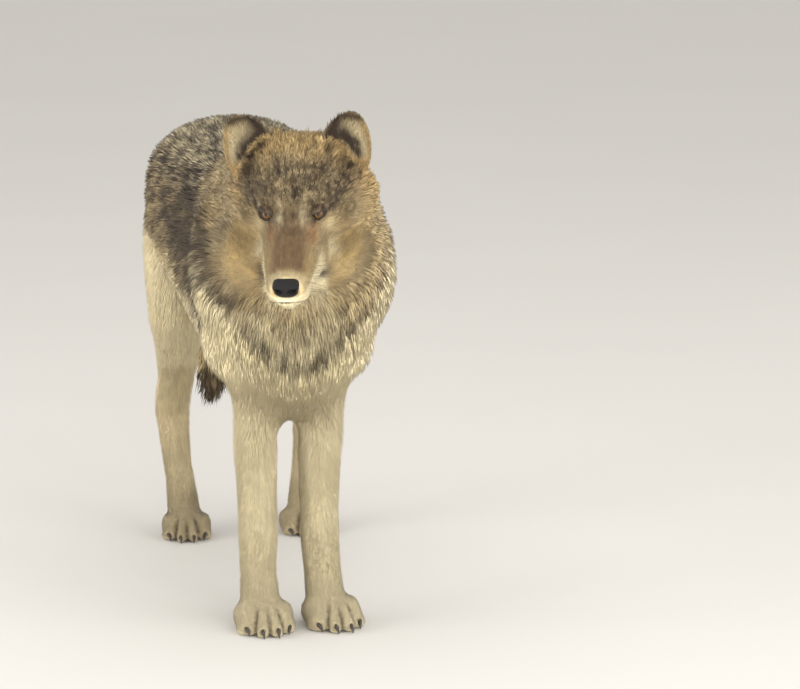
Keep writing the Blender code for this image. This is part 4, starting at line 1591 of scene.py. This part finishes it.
# Coat ----------------------------------------------------------------------------------------------
@dataclass(frozen=True)
class TuftShape:
    """One tapering, curving lock of hair with three sides, drawn one long, one high and two wide."""

    name: str
    rings: tuple[float, ...]
    bend: float
    wave: float = 0.0

    def mesh(self) -> bpy.types.Mesh:
        """Builds the lock. It holds along, from root to tip, and blade, its place on its own map."""
        points, along, across = [], [], []
        for t in self.rings:
            half = 0.62 + 1.5 * t - 1.95 * t * t if len(self.rings) > 1 else 1.0
            high = 1.0 - (1.0 - t) ** 1.9
            aside = self.bend * t * t + self.wave * math.sin(t * math.pi)
            for dx, dz, u in ((-half, 0.0, 0.0), (half, 0.0, 1.0), (0.0, 0.09 * half, 0.5)):
                points.append((aside + dx, t, high + dz - 0.04 * (t == 0.0)))
                along.append(t)
                across.append(u)
        points.append((self.bend, 1.0, 1.0))
        along.append(1.0)
        across.append(0.5)
        faces = [(0, 1, 2)]
        for start in range(0, 3 * (len(self.rings) - 1), 3):
            for k in range(3):
                n = (k + 1) % 3
                faces += [(start + k, start + n, start + 3 + n), (start + k, start + 3 + n, start + 3 + k)]
        last, tip = 3 * (len(self.rings) - 1), len(points) - 1
        faces += [(last + k, last + (k + 1) % 3, tip) for k in range(3)]
        mesh = mesh_from(self.name, np.array(points), faces)
        mesh.shade_smooth()
        surface = Surface(mesh)
        surface.store("along", np.array(along))
        surface.store("lift", surface.points[:, 2].copy())
        surface.store("blade", np.stack([np.array(across), np.array(along), np.zeros(len(along))], 1))
        return mesh


class TuftKind(Enum):
    """Which set of lock shapes a coat piece is made of."""

    FINE = (
        TuftShape("fine_a", (0.0,), 0.5),
        TuftShape("fine_b", (0.0,), -0.5),
    )
    LONG = (
        TuftShape("long_a", (0.0, 0.50), 1.6),
        TuftShape("long_b", (0.0, 0.56), -1.8),
        TuftShape("long_c", (0.0, 0.45), 0.3, 1.2),
    )
    SHORT = (
        TuftShape("short_a", (0.0, 0.55), 0.7),
        TuftShape("short_b", (0.0, 0.60), -0.7),
    )

    @property
    def triangles(self) -> int:
        """How many triangles each lock has."""
        return 6 * len(self.value[0].rings) - 2


@dataclass(frozen=True)
class CoatPiece:
    """One piece of the coat: which part of the body it covers, and how its tufts cluster."""

    name: str
    slot: str
    kind: TuftKind
    triangles: int
    clump: float
    pull: float
    stray: float
    hug: float = 0.85


COAT_PIECES = (
    CoatPiece("coat_face", "coat", TuftKind.FINE, 120_000, 0.006, 0.30, 0.16),
    CoatPiece("coat_head", "coat", TuftKind.SHORT, 190_000, 0.009, 0.6, 0.16),
    CoatPiece("coat_ears", "coat", TuftKind.SHORT, 80_000, 0.006, 0.4, 0.20, 0.0),
    CoatPiece("coat_ruff", "coat", TuftKind.LONG, 160_000, 0.014, 0.75, 0.12),
    CoatPiece("coat_nape", "coat", TuftKind.LONG, 130_000, 0.014, 0.75, 0.12),
    CoatPiece("coat_shoulders", "dark_coat", TuftKind.LONG, 170_000, 0.020, 0.75, 0.10),
    CoatPiece("coat_flanks", "dark_coat", TuftKind.LONG, 150_000, 0.020, 0.75, 0.10),
    CoatPiece("coat_rump", "dark_coat", TuftKind.LONG, 120_000, 0.020, 0.7, 0.10),
    CoatPiece("coat_tail", "dark_coat", TuftKind.LONG, 60_000, 0.014, 0.8, 0.12),
    CoatPiece("coat_forelegs", "pale_coat", TuftKind.FINE, 150_000, 0.008, 0.4, 0.12),
    CoatPiece("coat_hindlegs", "pale_coat", TuftKind.FINE, 170_000, 0.008, 0.4, 0.12),
    CoatPiece("coat_paws", "pale_coat", TuftKind.FINE, 60_000, 0.005, 0.3, 0.14),
)


@dataclass
class Coat:
    """Tufts sown over the skin by Geometry Nodes, in pieces of under 200,000 triangles."""

    head: Head
    skin: bpy.types.Object
    surface: Surface
    groom: Groom
    patch: float = 0.003
    seed: int = 7

    def regions(self) -> dict[str, Array]:
        """Which vertices each coat piece covers."""
        parts, (_, y, z) = self.groom.parts, self.surface.points.T
        local = self.head.to_own(self.surface.points)
        on_head = np.isin(parts, ("head", "lower_jaw"))
        face = on_head & (local[:, 1] + 0.6 * np.minimum(local[:, 2], 0.02) < 0.0)
        neck, trunk = parts == "neck", parts == "trunk"
        ruff = neck & (z < 0.62)
        return {
            "coat_face": face,
            "coat_head": on_head & ~face,
            "coat_ears": parts == "ear",
            "coat_ruff": ruff,
            "coat_nape": neck & ~ruff,
            "coat_shoulders": trunk & (y < -0.03),
            "coat_flanks": trunk & (y >= -0.03) & (y < 0.24),
            "coat_rump": trunk & (y >= 0.24),
            "coat_tail": parts == "tail",
            "coat_forelegs": np.isin(parts, ("upper_arm", "forearm")),
            "coat_hindlegs": np.isin(parts, ("thigh", "shank", "hind_pastern")),
            "coat_paws": np.isin(parts, ("forepaw", "hindpaw")),
        }

    def bare(self, eyes: Eyes, nose_middle: Array) -> Array:
        """0 where no tuft grows: by the lids' edges, under the nose pad and on the soles."""
        local = self.head.to_own(self.surface.points)
        grows = np.ones(len(local))
        for opening in eyes.openings.values():
            offsets = local - opening.centre
            level, _ = opening.level(offsets)
            close = np.linalg.norm(offsets, axis=1) < 0.02
            grows *= np.where(close, ramp(level, 1.10, 1.35), 1.0)
        pad = (local - nose_middle + [0.0, 0.0, Nose.drop]) / [0.0255, 0.019, 0.0185]
        grows *= ramp(np.linalg.norm(pad, axis=1), 1.0, 1.12)
        grows *= ramp(self.surface.points[:, 2], 0.006, 0.012)
        return grows

    def tree(self, piece: CoatPiece, shapes: Sequence[bpy.types.Object]) -> bpy.types.NodeTree:
        """The Geometry Nodes that sow, turn, cluster and realize one piece's tufts.

        Args:
            piece: The coat piece.
            shapes: The objects that hold its lock shapes.

        Returns:
            The node tree, with named inputs for its sizes.
        """
        g = GeometryGraph(piece.name, "Skin", ("Clump size", "Clump pull", "Stray", "Hug", "Patch"))
        given = g.given
        place = g.node("GeometryNodeInputPosition")

        def under(value: Socket) -> Socket:
            """A vector of the skin, at its nearest place to the one in hand."""
            inputs = {"Mesh": given["Skin"], "Value": value, "Sample Position": place}
            return g.node("GeometryNodeSampleNearestSurface", {"data_type": "FLOAT_VECTOR"}, inputs, "Value")

        inputs = {"Mesh": given["Skin"], "Density": g.named("sow", "FLOAT"), "Seed": given["Seed"]}
        settings = {"distribute_method": "RANDOM"}
        sown = g.node("GeometryNodeDistributePointsOnFaces", settings, inputs, "Points")
        inputs = {"Vector": place, "Scale": 1.0 / given["Clump size"]}
        settings = {"voronoi_dimensions": "3D", "feature": "F1"}
        cell, shade = (g.node("ShaderNodeTexVoronoi", settings, inputs, out) for out in ("Position", "Color"))
        half_width, length, rise = g.split(g.named("hair"))
        pull = g.scaled(g.vector("SUBTRACT", cell, place), given["Clump pull"] / length)
        loose = g.scaled(g.chance((-1.0,) * 3, (1.0,) * 3, 1, "FLOAT_VECTOR"), given["Stray"])
        lie = g.vector("ADD", g.vector("ADD", g.named("flow"), pull), loose)
        tall = rise * g.chance(0.66, 1.04, 4)
        size = {"X": half_width * g.chance(0.75, 1.30, 2), "Y": length * g.chance(0.62, 1.12, 3), "Z": tall}
        tone = g.split(shade)[0] * 0.55 + g.chance(0.0, 0.45, 5)
        points = g.stored(sown, "FLOAT", "POINT", "tone", tone)
        points = g.stored(points, "FLOAT", "POINT", "tall", tall)
        points = g.stored(points, "FLOAT_VECTOR", "POINT", "root_place", g.named(BAKE_MAP))
        locks = g.tree.nodes.new("GeometryNodeJoinGeometry")
        for shape in shapes:
            info = g.node("GeometryNodeObjectInfo", None, {"Object": shape, "As Instance": True}, "Geometry")
            g.tree.links.new(info.socket, locks.inputs[0])
        inputs = {
            "Points": points,
            "Instance": Socket(g, locks.outputs[0]),
            "Pick Instance": True,
            "Instance Index": g.chance(0, len(shapes) - 1, 6, "INT"),
            "Rotation": g.turned(("Z", "Y"), g.named("up"), lie),
            "Scale": g.node("ShaderNodeCombineXYZ", None, size),
        }
        real = g.planted(inputs)
        # A tuft is bent to keep its height over the skin where the skin curves away from it.
        over = under(g.named("up"))
        height = g.vector("DOT_PRODUCT", g.vector("SUBTRACT", place, under(place)), over, output="Value")
        short = g.named("lift", "FLOAT") * g.named("tall", "FLOAT") - height
        short = g.node("ShaderNodeClamp", None, {"Value": short, "Min": -0.020, "Max": 0.012})
        loosen = g.named("along", "FLOAT").step(0.0, 0.3) * given["Hug"]
        inputs = {"Geometry": real, "Offset": g.scaled(over, short * loosen)}
        real = g.node("GeometryNodeSetPosition", None, inputs)
        blade = g.scaled(g.vector("SUBTRACT", g.named("blade"), (0.5, 0.5, 0.0)), given["Patch"])
        patch = g.vector("ADD", g.named("root_place"), blade)
        return g.finished(g.stored(real, "FLOAT2", "CORNER", BAKE_MAP, patch))

    def grow(self, piece: CoatPiece, sow: Array, finish: bpy.types.Material) -> bpy.types.Object:
        """Grows one coat piece and makes it a plain mesh.

        Args:
            piece: The coat piece.
            sow: Its tufts to the square metre at each of the skin's vertices.
            finish: The coat's material.

        Returns:
            The finished piece.
        """
        expected = (sow * self.surface.areas()).sum() * piece.kind.triangles
        self.surface.store("sow", sow * min(1.0, piece.triangles / expected))
        shapes = [new_piece(f"{piece.name}_{s.name}", s.mesh()) for s in piece.kind.value]
        tree = self.tree(piece, shapes)
        host = placed(piece.name, self.skin.data)
        sizes = {
            "Clump size": piece.clump,
            "Clump pull": piece.pull,
            "Stray": piece.stray,
            "Hug": piece.hug,
            "Patch": self.patch,
            "Seed": self.seed,
            "Finish": finish,
        }
        grow_nodes(host, tree, sizes)
        mesh = baked_mesh(host)
        for shape in shapes:
            bpy.data.objects.remove(shape)
        for spare in ("flow", "hair", "sow", "root_place", "blade", "lift", "tall"):
            if spare in mesh.attributes:
                mesh.attributes.remove(mesh.attributes[spare])
        return new_piece(piece.name, mesh)

    def build(self, eyes: Eyes, finish: bpy.types.Material) -> None:
        """Grows every coat piece."""
        grows = self.bare(eyes, self.head.to_own(np.array(middle_of("nose"))))
        regions = self.regions()
        for piece in COAT_PIECES:
            sow = self.groom.per_area * grows * regions[piece.name]
            show(self.grow(piece, sow, finish), piece.slot)


# Nose, claws and whiskers --------------------------------------------------------------------------
@dataclass
class Nose:
    """The bare nose pad: wide above, with comma-shaped nostrils and a groove down to the lip."""

    middle = np.array([0.0, -0.146, -0.031])

    head: Head
    radii: tuple[float, float, float] = (0.0240, 0.0165, 0.0168)
    boxiness: tuple[float, float, float] = (0.80, 0.66, 0.66)
    nostril: tuple[float, float] = (0.0104, 0.0042)
    depth: float = 0.0080
    set_back: float = 0.0050
    drop: float = 0.0035

    def build(self, finish: bpy.types.Material) -> None:
        """Makes the pad."""
        mesh = bpy.data.meshes.new("nose_pad")
        with editing(mesh) as builder:
            bmesh.ops.create_icosphere(builder, subdivisions=6, radius=1.0)
        surface = Surface(mesh)
        d = surface.points
        p = np.sign(d) * np.abs(d) ** self.boxiness * self.radii
        p = surface.averaged(p, 12)
        p[:, 0] *= 0.87 + 0.24 * d[:, 2]
        front = ramp(d[:, 1], 0.15, -0.45)
        p[:, 1] += self.set_back + 0.0065 * ramp(d[:, 2], 0.5, -1.0) * front
        x, z = np.abs(p[:, 0]), p[:, 2]
        px, pz = self.nostril
        pit = np.exp(-((((x - px) / 0.0058) ** 2 + ((z - pz) / 0.0056) ** 2) ** 2))
        slit_z = pz + 0.0008 + 0.7 * np.maximum(x - px - 0.003, 0.0)
        slit = np.exp(-(((z - slit_z) / 0.0014) ** 2))
        slit = slit * ramp(x, px, px + 0.003) * ramp(x, 0.0225, 0.0195)
        groove = np.exp(-((p[:, 0] / 0.0010) ** 2)) * ramp(z, 0.003, -0.004)
        wing = np.exp(-((((x - px) / 0.0070) ** 2 + ((z - pz - 0.0050) / 0.0035) ** 2)))
        p[:, 1] += front * (self.depth * pit + 0.0024 * slit + 0.0014 * groove - 0.0012 * wing)
        surface.points = self.head.to_world(p + self.middle + [0.0, 0.0, -self.drop])
        # The pit attribute, for the finish: painted shade in the nostrils, their slits and the groove.
        surface.store("pit", limited(front * (pit * 1.3 + 0.8 * slit + 0.4 * groove)))
        surface.write_back()
        show(new_piece("nose_pad", mesh, finish), "nose_skin", "nose")


@dataclass
class Whiskers:
    """Long bristles on the lips, set in rows by Geometry Nodes."""

    head: Head
    skin: Surface
    rows: int = 4
    in_row: int = 5
    thickness: float = 0.0050
    lengths: tuple[float, float] = (0.026, 0.052)
    bend: float = 0.35
    seed: int = 3

    def roots(self) -> bpy.types.Mesh:
        """Points on the lips, each with the way its whisker leaves the skin."""
        places, ways = [], []
        chance = np.random.default_rng(self.seed)
        for side in SIDES.values():
            for row in range(self.rows):
                for k in range(self.in_row):
                    back = -0.128 + 0.011 * k + 0.003 * (row % 2)
                    places.append((side * (0.026 + 0.10 * (back + 0.128)), back, -0.034 - 0.0062 * row))
                    way = np.array((side, 0.25 + 0.16 * k, -0.12 - 0.12 * row))
                    ways.append(way + chance.normal(0.0, 0.12, 3))
        tree = BVHTree.FromPolygons(self.skin.points.tolist(), self.skin.triangles.tolist())
        spots = [tree.find_nearest(p)[0] for p in self.head.to_world(np.array(places)).tolist()]
        mesh = bpy.data.meshes.new("whisker_roots")
        mesh.from_pydata(spots, [], [])
        held = mesh.attributes.new("way", "FLOAT_VECTOR", "POINT")
        held.data.foreach_set("vector", self.head.turn(unit(np.array(ways))).astype(np.float32).ravel())
        return mesh

    def tree(self) -> bpy.types.NodeTree:
        """The Geometry Nodes: a tapering bent bristle on each point, turned its way."""
        g = GeometryGraph("whiskers", "Roots", ("Thickness", "Shortest", "Longest", "Bend"))
        given = g.given
        spine = g.node("GeometryNodeCurvePrimitiveLine", None, {"End": (0.0, 1.0, 0.0)})
        spine = g.node("GeometryNodeResampleCurve", None, {"Curve": spine, "Count": 9})
        along = g.node("GeometryNodeSplineParameter", None, None, "Factor")
        sag = g.node("ShaderNodeCombineXYZ", None, {"Z": along * along * given["Bend"] * -1.0})
        spine = g.node("GeometryNodeSetPosition", None, {"Geometry": spine, "Offset": sag})
        inputs = {"Resolution": 6, "Radius": given["Thickness"]}
        ring = g.node("GeometryNodeCurvePrimitiveCircle", None, inputs)
        inputs = {"Curve": spine, "Profile Curve": ring, "Scale": 1.02 - along, "Fill Caps": True}
        inputs = {
            "Points": given["Roots"],
            "Instance": g.node("GeometryNodeCurveToMesh", None, inputs),
            "Rotation": g.turned(("Y", "Z"), g.named("way"), (0.0, 0.0, 1.0)),
            "Scale": g.chance(given["Shortest"], given["Longest"]),
        }
        return g.finished(g.planted(inputs))

    def build(self, finish: bpy.types.Material) -> None:
        """Sets the whiskers and makes them a plain mesh."""
        host = new_piece("whiskers", self.roots())
        sizes = {
            "Thickness": self.thickness,
            "Shortest": self.lengths[0],
            "Longest": self.lengths[1],
            "Bend": self.bend,
            "Seed": self.seed,
            "Finish": finish,
        }
        grow_nodes(host, self.tree(), sizes)
        show(new_piece("whiskers", baked_mesh(host)), "nose_skin")


@dataclass
class Claws:
    """The claws of each paw, rounded from the CAD's."""

    limbs = ("fore", "hind")
    toes = 4
    rounding: int = 2

    def build(self, finish: bpy.types.Material) -> None:
        """Makes one piece for each paw's claws."""
        for limb in self.limbs:
            for side in SIDES:
                names = [f"claw_{limb}_{side}_{toe + 1}" for toe in range(self.toes)]
                piece = new_piece(f"claws_{limb}_{side}", merged_nodes("claws", names), finish)
                step = piece.modifiers.new("round", "SUBSURF")
                step.levels = step.render_levels = self.rounding
                show(piece, "claw_horn", *names)


# Studio --------------------------------------------------------------------------------------------
# Each lamp's place, side in metres and power in watts.
LAMPS = {
    "key": ((1.4, -4.6, 3.0), 4.0, 90.0),
    "front": ((0.3, -5.5, 0.6), 3.0, 225.0),
    "side": ((-4.0, -1.2, 0.8), 3.0, 165.0),
    "fill": ((3.6, -2.8, 1.0), 3.5, 115.0),
    "top": ((0.0, 0.4, 4.4), 5.0, 40.0),
}


@dataclass
class Studio:
    """A pale floor, soft light from the front, sides and top, and a long lens in front of the wolf."""

    azimuth: float = -8.0
    elevation: float = 11.0
    distance: float = 8.0
    lens: float = 214.2
    aside: float = 0.1866
    above: float = 0.4765
    stance: tuple[float, float, float] = (0.0039, -0.3023, -0.0040)
    middle: tuple[float, float, float] = (0.0, 0.0, 0.5)
    floor_half: float = 40.0
    sensor: float = 36.0
    sky: tuple[float, float, float, float] = (1.0, 0.985, 0.96, 1.0)
    sky_strength: float = 0.85

    @staticmethod
    def aim(thing: bpy.types.Object, place: Sequence[float], way: Vector) -> None:
        """Puts a camera or a lamp at a place, looking along a way."""
        thing.location = place
        thing.rotation_mode = "QUATERNION"
        thing.rotation_quaternion = way.to_track_quat("-Z", "Y")

    def camera(self) -> None:
        """Places the camera by the point between the forepaws."""
        a, e = math.radians(self.azimuth), math.radians(self.elevation)
        back = Vector((math.sin(a) * math.cos(e), -math.cos(a) * math.cos(e), math.sin(e)))
        right = (-back).cross(Vector((0.0, 0.0, 1.0))).normalized()
        up = right.cross(-back)
        data = bpy.data.cameras.new("camera")
        data.lens, data.sensor_width = self.lens, self.sensor
        data.clip_end = 200.0
        camera = placed("camera", data)
        bpy.context.scene.camera = camera
        spot = Vector(self.stance) + back * self.distance + right * self.aside + up * self.above
        self.aim(camera, spot, -back)

    def lamp(self, name: str, place: Sequence[float], size: float, power: float) -> None:
        """A square soft light that looks at the wolf's middle."""
        data = bpy.data.lights.new(name, "AREA")
        data.size, data.energy = size, power
        self.aim(placed(name, data), place, Vector(self.middle) - Vector(place))

    def build(self) -> None:
        """Makes the floor, the light and the camera."""
        h = self.floor_half
        mesh = mesh_from("floor", np.array([(-h, -h, 0), (h, -h, 0), (h, h, 0), (-h, h, 0)]), [(0, 1, 2, 3)])
        floor = new_piece("floor", mesh, FLOOR.material())
        world = bpy.data.worlds.new("studio")
        world.use_nodes = True
        sky = world.node_tree.nodes["Background"]
        sky.inputs["Color"].default_value = self.sky
        sky.inputs["Strength"].default_value = self.sky_strength
        bpy.context.scene.world = world
        bpy.context.scene.view_settings.view_transform = "Standard"
        for name, lamp in LAMPS.items():
            self.lamp(name, *lamp)
        self.camera()


def main() -> None:
    """Builds the wolf and its studio, in order."""
    logging.basicConfig(level=logging.INFO, format="%(relativeCreated)6d ms  %(message)s")
    Studio().build()
    head = Head()
    eyes = Eyes(head)
    coat_finish = CoatFinish().material()
    skin = Skin(head, eyes)
    piece, surface, groom = skin.build()
    log.info("skin made")
    Coat(head, piece, surface, groom).build(eyes, coat_finish)
    piece.data.materials.append(coat_finish)
    show(piece, "coat", *FLESH)
    eyes.build(EyeFinish().material(), RIM.material())
    Nose(head).build(NoseFinish().material())
    Whiskers(head, surface).build(WHISKER.material())
    Claws().build(CLAW.material())


if __name__ == "__main__":
    main()
